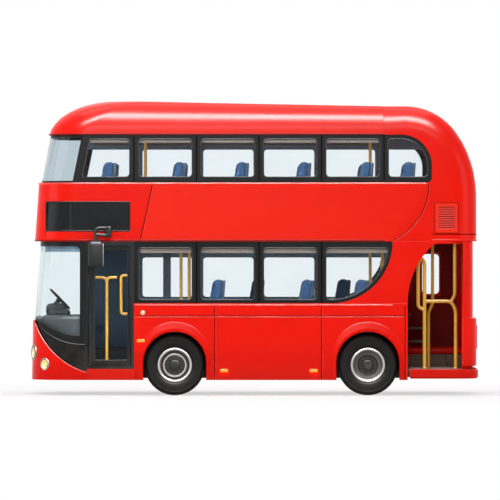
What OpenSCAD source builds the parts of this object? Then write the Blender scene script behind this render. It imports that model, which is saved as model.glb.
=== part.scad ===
// Short two-deck town bus with a front entrance door and an open rear platform.
// Frame: +X forward, +Y to the kerb side (left), +Z up, origin on the ground at mid length.
// Stations along the bus are distances back from a datum just behind the nose, turned into X by at().

/* [Body] */
// Length from the nose to the rear bumper
body_l = 6766; // [6300:2:7600]
// Width over the flat sides
body_w = 2520; // [2400:10:2600]
// Height of the roof crown
roof_z = 4456; // [4350:2:4600]
// Height of the roof's lower edge
eave_z = 3935; // [3850:5:4000]
// Fall of the roof line from front to rear
roof_fall = 80; // [0:5:120]
// Lower edge of the skirt panels
skirt_z = 232; // [200:1:300]
// Thickness of walls and panels
wall_t = 50; // [35:1:60]
// Plan radius of the front corners
nose_r = 640; // [500:10:800]
// Radius of the roof edge and of the rear corners
edge_r = 390; // [300:10:420]
// Setback of the window bands from the red panels
band_inset = 12; // [6:1:16]

/* [Decks] */
// Top of the lower floor
floor_z = 400; // [380:5:430]
// Thickness of the lower floor
floor_t = 40; // [30:1:60]
// Top of the upper floor
deck_z = 2420; // [2400:5:2440]
// Thickness of the upper floor
deck_t = 60; // [40:1:70]

/* [Window bands] */
// Lower edge of the upper window band
upper_band_lo = 3210; // [3150:5:3260]
// Lower edge of the lower window band
lower_band_lo = 1390; // [1350:5:1420]
// Upper edge of the lower window band
lower_band_hi = 2325; // [2300:5:2340]
// Width of one window bay
bay_w = 943; // [900:1:980]
// Station of the first full bay, behind the door
bay_start = 1522; // [1500:1:1560]
// Width of a window pillar between two panes
pillar_w = 126; // [90:1:160]
// Thickness of the glass
glass_t = 12; // [8:1:20]
// Corner radius of a pane
pane_r = 62; // [40:1:90]

/* [Wheels and axles] */
// Station of the front axle
front_axle = 2136; // [2100:1:2200]
// Distance between the axles
wheelbase = 2915; // [2850:1:2980]
// Tyre radius
tyre_r = 455; // [440:1:465]
// Tyre width
tyre_w = 270; // [240:1:280]
// Rim radius at the tyre bead
rim_r = 296; // [270:1:310]
// Depth of the outer wheel face inside the body side
wheel_inset = 40; // [30:1:60]
// Distance of the kingpin inside the front tyre's middle
kingpin_in = 150; // [140:1:170]
// Kingpin radius
kingpin_r = 25; // [20:1:28]
// Radius of the wheel arch cut in the panels
arch_r = 475; // [470:1:490]
// Rise of the arch centre over the axle
arch_rise = 35; // [20:1:50]

/* [Door] */
// Width of the door opening
door_w = 655; // [600:1:660]
// Station of the door opening's front edge
door_start = 825; // [815:1:840]
// Thickness of the door leaf
leaf_t = 40; // [30:1:45]
// Gap round the door leaf
door_gap = 12; // [10:1:16]

/* [Seats] */
// Width of a double seat
seat_w = 860; // [780:10:880]
// Height of a seat back over the deck
seat_h = 1100; // [1000:10:1150]
// Height of a seat cushion over the deck
cushion_z = 450; // [420:5:480]

/* [Hidden] */
$fn = 192;
tube_fn = 64;                    // facets of slim tubes and balls
fit = 0.3;                       // clearance between pieces that seat on each other
run = 0.05;                      // running clearance of pins in their bores
over = 10;                       // cuts run this far past the face they open
hw = body_w / 2;                 // half width
deck_hw = hw - wall_t - fit;     // half width of the decks between the walls
nose = body_l / 2;               // X of the nose
datum = 40;                      // station zero lies this far behind the nose
big = 3 * body_w;                // longer than any cut needs
ahead = -150;                    // station well ahead of the nose

function at(d) = nose - datum - d; // X of station d

// Front faces: station of each face at its foot and its lean from the upright
bumper_d = -datum;
bumper_lean = 1;
screen_d = 0;                    // lower windscreen and mask
screen_z = 1000;                 // height at which screen_d is measured
band_d = 5;                      // red band between the decks
lean_low = 4;
upper_d = 102;                   // upper windscreen
lean_up = 11.5;
wrap_drop = 1100;                // a nose skin starts this far below its station
wrap_h = 2600;                   // and is this high before it is trimmed
wrap_l = 1200;                   // length of a nose skin back from its face
wrap_long = 2200;                // the same for the red band

// Curves of the nose, seen from the side: [station, height, radius]
mask_arc = [1134, 1475, 1178];   // upper edge of the red bumper
screen_arc = [720, 1870, 1000];  // lower edge of the windscreen
bumper_top = 1130;
mask_top = 1190;

// Stations and widths of the front joints
nose_end = door_start - 15;      // rear edge of bumper, mask and windscreen frame
pillar_a = door_start - 120;     // rear edge of the windscreen
screen_lip = 25;                 // frame below the windscreen
screen_head = 75;                // frame above the windscreen
screen_r = 60;
upper_pillar = 640;              // foot of the joint between upper front frame and side bands
upper_post = 50;                 // frame beside the upper windscreen
upper_sill = 30;                 // frame below the upper windscreen
upper_head = 45;                 // frame above the upper windscreen
first_post = 78;                 // band between that joint and the first side pane
seam_top = 1800;                 // upper end of the slanting front seam
seam_low = 1620;                 // lower end of the slanting front seam
roof_seam = bay_start + 4 * bay_w;
screen_gap = 4;                  // setback of nose glass in its frame
side_gap = 8;                    // setback of side glass in its band
dome_gap = 14;                   // setback of rear glass in the dome

// Blank destination displays: stations, heights, corner radius
display_d = [190, 1455];
display_z = [2483, 2917];
display_r = 40;
display_margin = 140;            // front display ends this far inside the nose corners
display_gap = 6;                 // setback of the displays in the red band

// Rear of the body, tied to its back face
tail_proud = 26;                 // bumper stands this far behind the rear dome
tail_d = body_l - datum;         // station of the bumper's back face
tail = tail_d - tail_proud;      // station of the rear dome's back face
rear_r = 350;                    // plan radius of the lower rear corner
rear_step = 54;                  // the wall above the waist sits this far inside the dome
waist_z = 1170;                  // top of the thick lower rear panel
waist_lift = 40;                 // its lower edge over the floor
tail_front = tail - rear_r - 50; // front edge of the rear corner wrap
platform_end = tail - 232;       // rear edge of the platform doorway
doorway_w = 818;
platform_d = platform_end - doorway_w;
rear_axle_d = front_axle + wheelbase;

// Window bands: rear ends and curves
upper_band_end = tail - 685;
upper_band_r = 75;               // lower rear corner of the upper band
dome_pane_r = 465;               // upper rear corner of the upper band
lower_band_end = platform_d - 228;
band_tail_r = 925;               // lower rear corner of the lower band
band_edge = 62;                  // band behind the last pane
upper_pane = [upper_band_lo + 83, eave_z - 65];
lower_pane = [lower_band_lo + 50, lower_band_hi - 97];
platform_pane_d = [tail - 760, tail - 500];
platform_pane_z = [1515, 2130];
quarter_d = rear_axle_d - 451;   // front tip of the quarter panels

// Rounded end of the side panel between the decks
mid_arc_r = 945;
mid_arc_d = upper_band_end - mid_arc_r - 47;

// Rear dome: two arcs that blend the roof into the back
dome_r1 = 950;
dome_r2 = 1640;
dome_a = 55;
dome_d = tail - dome_r1 * sin(dome_a) - dome_r2 * (1 - sin(dome_a));
dome_top = roof_z - roof_fall;
dome_c1 = [at(dome_d), dome_top - dome_r1];
dome_c2 = dome_c1 + (dome_r2 - dome_r1) * [sin(dome_a), -cos(dome_a)];

// Rear windows: heights, half width, corner radius
upper_rear_z = [2720, 3500];
lower_rear_z = [1500, 2150];
rear_half = hw - 440;
rear_pane_r = 80;

// Doorway of the rear platform: its front edge sweeps back on two arcs
doorway_r1 = 1190;
doorway_r2 = 180;
doorway_a = 45;
doorway_hi = 2290;
doorway_spring = doorway_hi - doorway_r1 * sin(doorway_a) - doorway_r2 * (1 - sin(doorway_a));

// Frame rails and cross members
rail_y = hw - 860;
rail_w = 80;
rail_h = 100;
rail_front = 850;
rail_rear = tail - 360;
member_h = 80;
member_w = 100;
members = [900, 1450, front_axle + 764, front_axle + 1464, rear_axle_d - 801, rear_axle_d + 589, tail - 410];

// Towing socket in a tube ahead of the off-side frame rail
tow_d = 16;
tow_z = 310;
tow_r = 20;
tow_depth = 200;
tow_tube_r = 34;
tow_clear = 2;                   // gap between the tube and the bumper

// Engine under the stair landing
engine_d = tail - 470;           // rear face
engine_l = 500;
engine_h = 320;
engine_drop = 110;               // below the floor's underside
engine_out = hw - 170;           // outer face
engine_hole = 20;                // floor cut away round the engine

// Wheels, hubs and wheel boxes
front_wheel_y = hw - wheel_inset - tyre_w / 2;
kingpin_y = front_wheel_y - kingpin_in;
twin_gap = 40;
rear_out_y = front_wheel_y;
rear_in_y = rear_out_y - tyre_w - twin_gap;
hub_bore = 40;
rear_bore = 60;
hub_y = rear_in_y - tyre_w / 2 - 20; // outer face of the rear hub carrier
carrier_t = 50;
box_t = 20;
front_box = 560;                 // half length of the front wheel boxes
rear_box = 500;                  // half length of the rear wheel boxes
front_box_y = hw - 650;          // inner wall of the front wheel boxes
rear_box_y = hub_y - 60;         // inner wall of the rear wheel boxes
box_z = 965;                     // top of the wheel boxes
flare_r = 545;
flare_half = 535;
flare_rise = 115;                // rise of the flare's centre over the axle
flare_proud = 25;

// Seats: [deck floor, side (+1 kerb side), station of the back's rear face]
lining_t = 25;
podium_z = 240;                  // seats of the lower deck stand on this podium
podium = floor_z + podium_z;
seat_y = hw - wall_t - lining_t - 65 - seat_w / 2;
row_in_bay = 744;                // seat backs in a bay, behind its front pillar
seat_rows = concat(
    [for (side = [1, -1], i = [0:3]) [deck_z, side, bay_start + i * bay_w + row_in_bay]],
    [for (side = [1, -1]) [deck_z, side, bay_start - 322]],
    [[deck_z, 1, roof_seam + 436]],
    [for (d = [2850, 4200, 5025]) [podium, 1, d]],
    [for (d = [3450, 4770]) [podium, -1, d]]);
seat_gap = 20;                   // between the two places of a seat
seat_l = 460;
seat_t = 90;                     // thickness of the cushion
back_foot = 130;                 // thickness of the back at the cushion
back_r = 45;                     // radius of the back's top
back_lean = 30;                  // the back's top leans this far to the rear
leg_w = 50;
pan_t = 30;

// Door
door_lo = 452;
door_hi = 2258;
jamb = 7;                        // gap of the frame above and below the leaf's opening
hinge_d = door_start + door_gap + 25;
hinge_y = hw - 40;
hinge_r = 12;
pin_in = 27;                     // the hinge pin enters the frame by this
frame_t = 48;                    // thickness of the door frame
leaf_pane_d = [door_start + 105, door_start + door_w - 50];
leaf_pane_z = [door_lo + 75, door_hi - 70];

// Cab
dash_z = 1270;                   // top of the dashboard
dash_t = 220;
dash_d = [150, 430];
cab_in = 200;                    // inner edge of the cab floor
cab_out = hw - 80;               // outer edge of the cab floor
cab_h = 300;
cab_step = 110;                  // the dashboard's foot stands this far inside the cab floor
steer_d = 345;
steer_y = 700 - hw;
steer_z = 1440;
steer_r = 205;
steer_tilt = 45;
shaft_r = 14;
driver_d = 840;                  // rear face of the driver's seat
driver_w = 460;

// Staircase: winding treads round a newel over a closed landing
stair_r = 405;
stair_d = tail - 1040;
stair_y = stair_r + 90 - hw;
stair_gap = 15;                  // between the treads and the floor's opening
newel_r = 45;
newel_over = 900;                // newel above the upper deck
risers = 10;
rise = (deck_z - floor_z) / risers;
tread_t = 40;
stair_turn = 30;                 // turn of each tread
stair_first = 165;
landing_d = tail - 420;          // rear face of the landing
landing_l = 600;
landing_t = 20;

// Grab poles
pole_r = 18;
hoop_r = 27;                     // stout rails of the platform
pole_y = seat_y - seat_w / 2 - 20;
door_side = hw - 130;            // poles at the platform's edge
platform_side = hw - 180;
aisle_side = hw - 560;

red = "#e01505";
black = "#202124";
glass = "#9fb6bf";
blue = "#24456e";
gold = "#d9960f";
steel = "#8b8d90";
lining = "#31475c";

// Shared shapes

// Outline in X and Z pushed across the bus from y0 to y1
module across(y0, y1) {
    translate([0, y1, 0]) rotate([90, 0, 0]) linear_extrude(y1 - y0) children();
}

// Side-view outline that cuts the whole width
module through() across(-big, big) children();

// Mirror image on the off side
module off() mirror([0, 1, 0]) children();

module both() {
    children();
    off() children();
}

// Rectangle between stations d0 and d1 with one radius, or one for each corner:
// front low, rear low, rear high, front high
module panel(d0, d1, z0, z1, r = 0) {
    radii = is_list(r) ? r : [r, r, r, r];
    corners = [[at(d0), z0, -1, 1], [at(d1), z0, 1, 1], [at(d1), z1, 1, -1], [at(d0), z1, -1, -1]];
    difference() {
        translate([at(d1), z0]) square([d1 - d0, z1 - z0]);
        for (i = [0:3]) if (radii[i] > 0) corner_square(corners[i], radii[i]);
    }
    for (i = [0:3]) if (radii[i] > 0) intersection() {
        translate([corners[i][0] + corners[i][2] * radii[i], corners[i][1] + corners[i][3] * radii[i]])
            circle(radii[i]);
        corner_square(corners[i], radii[i]);
    }
}

module corner_square(c, r) translate([c[0] + (c[2] - 1) / 2 * r, c[1] + (c[3] - 1) / 2 * r]) square(r);

module disc_at(arc, grow = 0) translate([at(arc[0]), arc[1]]) circle(arc[2] + grow);

// Disc of a nose curve with all that is above its middle
module above_arc(arc, grow = 0) {
    disc_at(arc, grow);
    panel(ahead, body_l, arc[1], big);
}

function arc_points(c, r, a0, a1, n, first = 0) =
    [for (i = [first:n]) let (a = a0 + (a1 - a0) * i / n) c + r * [cos(a), sin(a)]];

// X at height z of a line that leans with the upper windscreen, at station d at the band's foot
function raked(d, z) = at(d + (z - upper_band_lo) * tan(lean_up));

// Plan outline with rounded front corners
module plan_nose(front, half, r, back) {
    translate([back, -half]) square([front - r - back, 2 * half]);
    translate([back, r - half]) square([front - back, 2 * (half - r)]);
    for (s = [-1, 1]) translate([front - r, s * (half - r)]) circle(r);
}

// Plan outline with rounded rear corners
module plan_tail(back, half, r, front) {
    translate([back + r, -half]) square([front - back - r, 2 * half]);
    translate([back, r - half]) square([front - back, 2 * (half - r)]);
    for (s = [-1, 1]) translate([back + r, s * (half - r)]) circle(r);
}

// Skin of the nose: t thick, at station d at the height zp, leaning back above it
module nose_wrap(d, inset, t, zp, lean, back_d = wrap_l) {
    translate([at(d), 0, zp]) rotate([0, -lean, 0]) translate([0, 0, -wrap_drop])
    linear_extrude(wrap_h) difference() {
        plan_nose(0, hw - inset, nose_r - inset, -back_d);
        plan_nose(-t, hw - inset - t, nose_r - inset - t, -back_d - over);
    }
}

// Skin of the tail, back from front_d to station d, from z0 to z1
module tail_wrap(d, z0, z1, front_d) {
    translate([0, 0, z0]) linear_extrude(z1 - z0) intersection() {
        difference() {
            plan_tail(at(d), hw, rear_r, at(d) + 3 * rear_r);
            plan_tail(at(d) + wall_t, hw - wall_t, rear_r - wall_t, at(d) + 3 * rear_r + over);
        }
        translate([at(d) - over, -hw - over]) square([d - front_d + over, 2 * (hw + over)]);
    }
}

// Bent tube through points, with a ball at each bend
module tube(points, r) for (i = [0:len(points) - 2]) {
    v = points[i + 1] - points[i];
    translate(points[i]) rotate([0, acos(v[2] / norm(v)), atan2(v[1], v[0])])
        cylinder(r = r, h = norm(v), $fn = tube_fn);
    if (i > 0) translate(points[i]) sphere(r + 2, $fn = tube_fn);
}

// Panes and outlines of the sides

// Front and rear station of each full bay's pane
bay_panes = [for (i = [0:3])
    [bay_start + i * bay_w + pillar_w / 2, bay_start + (i + 1) * bay_w - pillar_w / 2]];

module bay_pane(i, z, grow)
    panel(bay_panes[i][0] - grow, bay_panes[i][1] + grow, z[0] - grow, z[1] + grow, pane_r + grow);

// Front side pane of the upper deck, with a leaning front edge
module first_upper_pane(grow = 0) {
    lo = upper_pane[0] - grow;
    hi = upper_pane[1] + grow;
    d0 = upper_pillar + first_post - grow;
    d1 = bay_start - pillar_w / 2 + grow;
    r = pane_r + grow;
    intersection() {
        panel(d0 - pane_r, d1, lo, hi, [0, r, r, 0]);
        polygon([[raked(d0, lo), lo], [raked(d0, hi), hi], [at(d1), hi], [at(d1), lo]]);
    }
}

module upper_panes(grow = 0) {
    r = pane_r + grow;
    first_upper_pane(grow);
    for (i = [0:3]) bay_pane(i, upper_pane, grow);
    panel(roof_seam + pillar_w / 2 - grow, upper_band_end - band_edge + grow, upper_pane[0] - grow,
        upper_pane[1] + grow, [r, r, dome_pane_r - band_edge + grow, r]);
}

// The last lower pane follows the round tail of its band
module lower_panes(grow = 0) {
    r = pane_r + grow;
    tail_in = lower_pane[0] - lower_band_lo;
    for (i = [0:2]) bay_pane(i, lower_pane, grow);
    intersection() {
        panel(bay_panes[3][0] - grow, lower_band_end - band_edge + grow, lower_pane[0] - grow,
            lower_pane[1] + grow, [r, 0, r, r]);
        union() {
            panel(0, lower_band_end - band_tail_r, 0, big);
            translate([at(lower_band_end - band_tail_r), lower_band_lo + band_tail_r])
                circle(band_tail_r - tail_in + grow);
        }
    }
}

module cab_pane(grow = 0)
    panel(door_start + 20 - grow, bay_start - pillar_w / 2 + grow, lower_pane[0] - grow,
        lower_pane[1] + grow, pane_r + grow);

module platform_pane()
    panel(platform_pane_d[0], platform_pane_d[1], platform_pane_z[0], platform_pane_z[1], pane_r);

// Outline of the upper window band on one side
module upper_band_outline(grow = 0) {
    lo = upper_band_lo - grow;
    intersection() {
        panel(upper_pillar - pane_r, upper_band_end + grow, lo, eave_z,
            [0, upper_band_r + grow, dome_pane_r + grow, 0]);
        polygon([[raked(upper_pillar, lo), lo], [raked(upper_pillar, eave_z), eave_z],
            [at(body_l), eave_z], [at(body_l), lo]]);
    }
}

module lower_band_outline(start, grow = 0)
    panel(start, lower_band_end + grow, lower_band_lo - grow, lower_band_hi, [0, band_tail_r + grow, 0, 0]);

// Side panel between the decks, from the slanting seam to the round rear end
module mid_outline(grow = 0) {
    lo = lower_band_hi;
    hi = upper_band_lo;
    polygon([[at(seam_low), lo], [at(seam_top), hi], [at(mid_arc_d), hi], [at(mid_arc_d), lo]]);
    intersection() {
        translate([at(mid_arc_d), hi]) circle(mid_arc_r + grow);
        panel(mid_arc_d - 1, mid_arc_d + mid_arc_r + over, lo, hi);
    }
}

module arch_cut(d) {
    translate([at(d), tyre_r + arch_rise]) circle(arch_r);
    panel(d - arch_r, d + arch_r, 0, tyre_r + arch_rise);
}

module arches() {
    arch_cut(front_axle);
    arch_cut(rear_axle_d);
}

module doorway() {
    x = at(platform_d);
    c1 = [x - doorway_r1, doorway_spring];
    c2 = c1 + (doorway_r1 - doorway_r2) * [cos(doorway_a), sin(doorway_a)];
    polygon(concat(
        [[at(platform_end), doorway_hi], [at(platform_end), 0], [x, 0]],
        arc_points(c1, doorway_r1, 0, doorway_a, 14),
        arc_points(c2, doorway_r2, doorway_a, 90, 6, 1)));
}

// Structure

module underframe() color(black) difference() {
    frame_members();
    tow_hole(tow_r, tow_d + tow_depth);
}

// Bore along the towing tube, forward from station d
module tow_hole(r, d) translate([at(d), -rail_y, tow_z]) rotate([0, 90, 0]) cylinder(r = r, h = big);

module frame_members() {
    z = floor_z - floor_t;
    translate([at(rail_front + over), -rail_y, tow_z]) rotate([0, 90, 0])
        cylinder(r = tow_tube_r, h = rail_front + over - tow_d);
    for (s = [-1, 1]) translate([at(rail_rear), s * rail_y - rail_w / 2, z - rail_h])
        cube([rail_rear - rail_front, rail_w, rail_h]);
    for (d = members) translate([at(d) - member_w / 2, -deck_hw, z - member_h])
        cube([member_w, 2 * deck_hw, member_h]);
}

module engine_block() color(steel)
    translate([at(engine_d), -engine_out, floor_z - floor_t - engine_drop])
        cube([engine_l, engine_out - rail_y - rail_w / 2 - fit, engine_h]);

module lower_floor() color("#77685a") difference() {
    translate([0, 0, floor_z - floor_t]) linear_extrude(floor_t) intersection() {
        plan_nose(at(20), deck_hw, nose_r - wall_t, at(tail - 29));
        plan_tail(at(tail - 29), deck_hw, rear_r - wall_t, at(20));
    }
    both() {
        wheel_well(front_axle, front_box, front_box_y);
        wheel_well(rear_axle_d, rear_box, rear_box_y);
        translate([at(nose_end + over), deck_hw - band_inset - fit, 0]) cube([nose_end, wall_t, big]);
    }
    translate([at(engine_d + engine_hole), -engine_out - over, 0])
        cube([engine_l + 2 * engine_hole, engine_out + over - rail_y - engine_hole, big]);
}

module wheel_well(d, half, inner, z = big)
    translate([at(d) - half, inner, 0]) cube([2 * half, hw - inner, z]);

// Wheel box: a tub open below and towards the arch
module wheel_box(d, half, inner) difference() {
    translate([at(d) - half - box_t, inner - box_t, floor_z + fit])
        cube([2 * (half + box_t), deck_hw - inner + box_t, box_z - floor_z]);
    wheel_well(d, half, inner, box_z - box_t);
}

module wheel_boxes() color(black) both() {
    wheel_box(front_axle, front_box, front_box_y);
    wheel_box(rear_axle_d, rear_box, rear_box_y);
}

module upper_floor() color("#5b5f66") difference() {
    r = stair_r + stair_gap;
    translate([0, 0, deck_z - deck_t]) linear_extrude(deck_t) intersection() {
        plan_nose(at(72), deck_hw, nose_r - wall_t, at(tail - 54));
        plan_tail(at(tail - 54), deck_hw, edge_r, at(72));
    }
    translate([at(stair_d), stair_y, 0]) cylinder(r = r, h = big);
    translate([at(stair_d) - r, 20 - deck_hw, 0]) cube([2 * r, stair_y + deck_hw - 20, big]);
}

// Red panels

module lower_side_near() color(red) across(hw - wall_t, hw) difference() {
    panel(bay_start, platform_d - fit, skirt_z, lower_band_lo - fit);
    arches();
}

module lower_side_off() color(red) off() across(hw - wall_t, hw) difference() {
    panel(nose_end, tail_front, skirt_z, lower_band_lo - fit);
    arches();
}

module quarter_outline() difference() {
    panel(quarter_d, tail_front, lower_band_lo, lower_band_hi - fit);
    lower_band_outline(bay_start, fit);
}

module quarter_panels() color(red) {
    across(hw - wall_t, hw) difference() {
        quarter_outline();
        doorway();
    }
    off() across(hw - wall_t, hw) difference() {
        quarter_outline();
        platform_pane();
    }
}

module mid_sides() color(red) both() across(hw - wall_t, hw) mid_outline();

// Roof shell: rings from the eave to the crown, each a plan outline with rounded front corners
roof_tip_d = 222;
roof_front_run = 900;            // length of the front dome's ellipse
roof_front_rake = 120;           // lean of the front dome's tip
roof_level_d = roof_tip_d + roof_front_run;
roof_rings = 9;
roof_corner = 10;
function crown_z(d, t) = roof_z - t - roof_fall * (d - roof_level_d) / (roof_seam - roof_level_d);
function ellipse_drop(u) = 1 - sqrt(max(0, 1 - u * u));
function roof_front(u, t) = at(roof_tip_d + t) - roof_front_run * ellipse_drop(u) - roof_front_rake * u;
function roof_half(u, t) = hw - t - (edge_r - t) * ellipse_drop(u);
function roof_side(f, h, r) =
    [for (k = [0:roof_corner]) let (a = 90 * k / roof_corner) [f - r + r * sin(a), h - r + r * cos(a)]];
function roof_plan(f, h, r) = let (side = roof_side(f, h, r)) concat(
    [[at(roof_seam), h]],
    side,
    [for (k = [roof_corner:-1:0]) [side[k][0], -side[k][1]]],
    [[at(roof_seam), -h]]);
function roof_ring(i, t) = let (u = sin(90 * i / roof_rings))
    [for (p = roof_plan(roof_front(u, t), roof_half(u, t), nose_r - t))
        [p[0], p[1], eave_z + u * (crown_z(at(0) - p[0], t) - eave_z)]];

module roof() color(red) {
    m = 2 * (roof_corner + 1) + 2;
    n = roof_rings + 1;
    k = m * n;
    outer = [for (i = [0:roof_rings]) each roof_ring(i, 0)];
    inner = [for (i = [0:roof_rings]) each roof_ring(i, wall_t)];
    sheet = [for (i = [0:n - 2], j = [0:m - 2]) each [
        [i * m + j, (i + 1) * m + j, i * m + j + 1],
        [i * m + j + 1, (i + 1) * m + j, (i + 1) * m + j + 1]]];
    back = concat([for (i = [0:n - 1]) i * m], [for (i = [n - 1:-1:0]) i * m + m - 1]);
    polyhedron(concat(outer, inner), concat(
        [for (f = sheet) [f[0], f[2], f[1]]],
        [[for (j = [0:m - 1]) (n - 1) * m + j]],
        [for (f = sheet) [k + f[0], k + f[1], k + f[2]]],
        [[for (j = [m - 1:-1:0]) k + (n - 1) * m + j]],
        [for (j = [0:m - 2]) each [[j, k + j, j + 1], [j + 1, k + j, k + j + 1]]],
        [for (q = [0:len(back) - 2]) each [
            [back[q], back[q + 1], k + back[q]],
            [back[q + 1], k + back[q + 1], k + back[q]]]]));
}

// Rear dome: a U section carried over the roof edge and down the back, with flat sides
// that fan out from their front lower corner
dome_corner = 8;
function dome_arc(c, r, a0, a1, n, first) =
    [for (i = [first:n]) let (a = a0 + (a1 - a0) * i / n) [c[0] + r * cos(a), c[1] + r * sin(a), a]];
dome_path = concat(
    [[at(roof_seam + fit), dome_top, 90]],
    dome_arc(dome_c1, dome_r1, 90, 90 + dome_a, 9, 0),
    dome_arc(dome_c2, dome_r2, 90 + dome_a, 180, 6, 1),
    [[at(tail), lower_band_hi, 180]]);
function dome_rib(t) = let (
    c = edge_r - t,
    half = [for (k = [0:dome_corner]) let (f = 90 * k / dome_corner)
        [hw - edge_r + c * cos(f), edge_r - c * sin(f)]])
    concat(half, [for (k = [dome_corner:-1:0]) [-half[k][0], half[k][1]]]);
function dome_layer(t) = concat(
    [for (p = dome_path, q = dome_rib(t)) [p[0] - q[1] * cos(p[2]), q[0], p[1] - q[1] * sin(p[2])]],
    [for (s = [1, -1]) [at(roof_seam + fit), s * (hw - t), lower_band_hi]]);

// Shell between the depths t0 and t1 below the dome's outer face
module dome_shell(t0 = 0, t1 = wall_t) {
    m = 2 * (dome_corner + 1);
    n = len(dome_path);
    k = m * n + 2;
    near_c = m * n;
    far_c = near_c + 1;
    skin = concat(
        [for (i = [0:n - 2], j = [0:m - 2]) each [
            [i * m + j, (i + 1) * m + j, (i + 1) * m + j + 1],
            [i * m + j, (i + 1) * m + j + 1, i * m + j + 1]]],
        [for (i = [0:n - 2]) each [
            [near_c, (i + 1) * m, i * m],
            [far_c, i * m + m - 1, (i + 1) * m + m - 1]]]);
    function rim(i) = concat([near_c], [for (j = [0:m - 1]) i * m + j], [far_c]);
    lead = rim(0);
    foot = rim(n - 1);
    polyhedron(concat(dome_layer(t0), dome_layer(t1)), concat(
        [for (f = skin) [f[2], f[1], f[0]]],
        [for (f = skin) [k + f[0], k + f[1], k + f[2]]],
        [for (q = [0:len(lead) - 2]) each [
            [lead[q], k + lead[q], lead[q + 1]],
            [lead[q + 1], k + lead[q], k + lead[q + 1]],
            [foot[q], foot[q + 1], k + foot[q]],
            [foot[q + 1], k + foot[q + 1], k + foot[q]]]]));
}

module rear_dome() color(red) difference() {
    dome_shell();
    through() upper_band_outline(fit);
    through() mid_outline(fit);
    rear_window(upper_rear_z);
}

// Prism through the back with the outline of a rear window
module rear_window(z, grow = 0) {
    half = rear_half + grow;
    r = rear_pane_r;
    lo = z[0] - grow;
    hi = z[1] + grow;
    translate([at(tail + wall_t), 0, 0]) rotate([90, 0, 90]) linear_extrude(edge_r + wall_t) {
        translate([-half, lo + r]) square([2 * half, hi - lo - 2 * r]);
        translate([r - half, lo]) square([2 * (half - r), hi - lo]);
        for (s = [-1, 1], h = [lo + r, hi - r]) translate([s * (half - r), h]) circle(r);
    }
}

module rear_glass() color(glass) {
    intersection() {
        dome_shell(dome_gap, dome_gap + glass_t);
        rear_window(upper_rear_z, -fit);
    }
    intersection() {
        translate([at(tail - rear_step - dome_gap), -hw, 0]) cube([glass_t, body_w, lower_band_hi]);
        rear_window(lower_rear_z, -fit);
    }
}

module rear_wall() color(red) difference() {
    union() {
        tail_wrap(tail - rear_step, floor_z, lower_band_hi - fit, tail_front + fit);
        tail_wrap(tail, floor_z + waist_lift, waist_z, tail - rear_r);
    }
    rear_window(lower_rear_z);
    across(0, big) doorway();
}

// Bumper round the tail, carried on under the platform's doorway
module platform_edge() color(red) difference() {
    tail_wrap(tail_d, skirt_z + 20, floor_z - fit, platform_d + fit);
    translate([at(tail_front), -big, 0]) cube(big);
}

module front_bumper() color(red) difference() {
    intersection() {
        nose_wrap(bumper_d, 0, wall_t, skirt_z, bumper_lean);
        through() difference() {
            panel(ahead, nose_end - fit, skirt_z, bumper_top);
            disc_at(mask_arc, fit);
        }
    }
    both() front_lamps(fit);
    tow_hole(tow_tube_r + tow_clear, tow_depth);
}

module screen_skin(inset, t) nose_wrap(screen_d, inset, t, screen_z, lean_low);
module upper_skin(inset, t) nose_wrap(upper_d, inset, t, upper_band_lo, lean_up);
module band_skin(inset, t) nose_wrap(band_d, inset, t, lower_band_hi, lean_low, wrap_long);

module front_mask() color(black) intersection() {
    screen_skin(band_inset, wall_t);
    through() intersection() {
        difference() {
            union() {
                disc_at(mask_arc);
                panel(ahead, nose_r, bumper_top + fit, mask_top);
            }
            disc_at(screen_arc, fit);
        }
        panel(ahead, nose_end - fit, skirt_z, mask_top);
    }
}

// Side view of the lower windscreen
module screen_outline(grow = 0) intersection() {
    panel(ahead, pillar_a + grow, skirt_z, lower_band_hi - screen_head + grow, [0, screen_r, screen_r, 0]);
    above_arc(screen_arc, grow - screen_lip);
}

// Side view of the upper windscreen
module upper_screen_outline(grow = 0) {
    lo = upper_band_lo + upper_sill - grow;
    hi = eave_z - upper_head + grow;
    d = upper_pillar - upper_post + grow;
    polygon([[at(ahead), lo], [at(ahead), hi], [raked(d, hi), hi], [raked(d, lo), lo]]);
}

module windscreen_frame() color(black) intersection() {
    screen_skin(band_inset, wall_t);
    through() difference() {
        intersection() {
            panel(ahead, nose_end - fit, skirt_z, lower_band_hi - fit);
            above_arc(screen_arc);
        }
        screen_outline();
    }
}

module windscreens() color(glass) {
    intersection() {
        screen_skin(band_inset + screen_gap, glass_t);
        through() screen_outline(-fit);
    }
    intersection() {
        upper_skin(band_inset + screen_gap, glass_t);
        through() upper_screen_outline(-fit);
    }
}

module upper_front_frame() color(black) intersection() {
    upper_skin(band_inset, wall_t);
    through() difference() {
        hi = eave_z - fit;
        d = upper_pillar - fit;
        polygon([[at(ahead), upper_band_lo], [at(ahead), hi], [raked(d, hi), hi], [at(d), upper_band_lo]]);
        upper_screen_outline();
    }
}

module display_side(grow = 0)
    panel(display_d[0] - grow, display_d[1] + grow, display_z[0] - grow, display_z[1] + grow, display_r);

module display_front(grow = 0) {
    half = hw - nose_r - display_margin + grow;
    translate([at(nose_r), -half, display_z[0] - grow])
        cube([big, 2 * half, display_z[1] - display_z[0] + 2 * grow]);
}

module front_band() color(red) difference() {
    intersection() {
        band_skin(0, wall_t);
        through() polygon([[at(ahead), lower_band_hi], [at(ahead), upper_band_lo - fit],
            [at(seam_top - fit), upper_band_lo - fit], [at(seam_low - fit), lower_band_hi]]);
    }
    through() display_side(fit);
    display_front(fit);
}

module destination_displays() color(black) intersection() {
    band_skin(display_gap, wall_t - 2 * display_gap);
    union() {
        through() display_side();
        display_front();
    }
}

// Window bands, glass and linings

module upper_bands() color(black) both() across(hw - wall_t, hw - band_inset) difference() {
    upper_band_outline();
    upper_panes();
}

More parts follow.
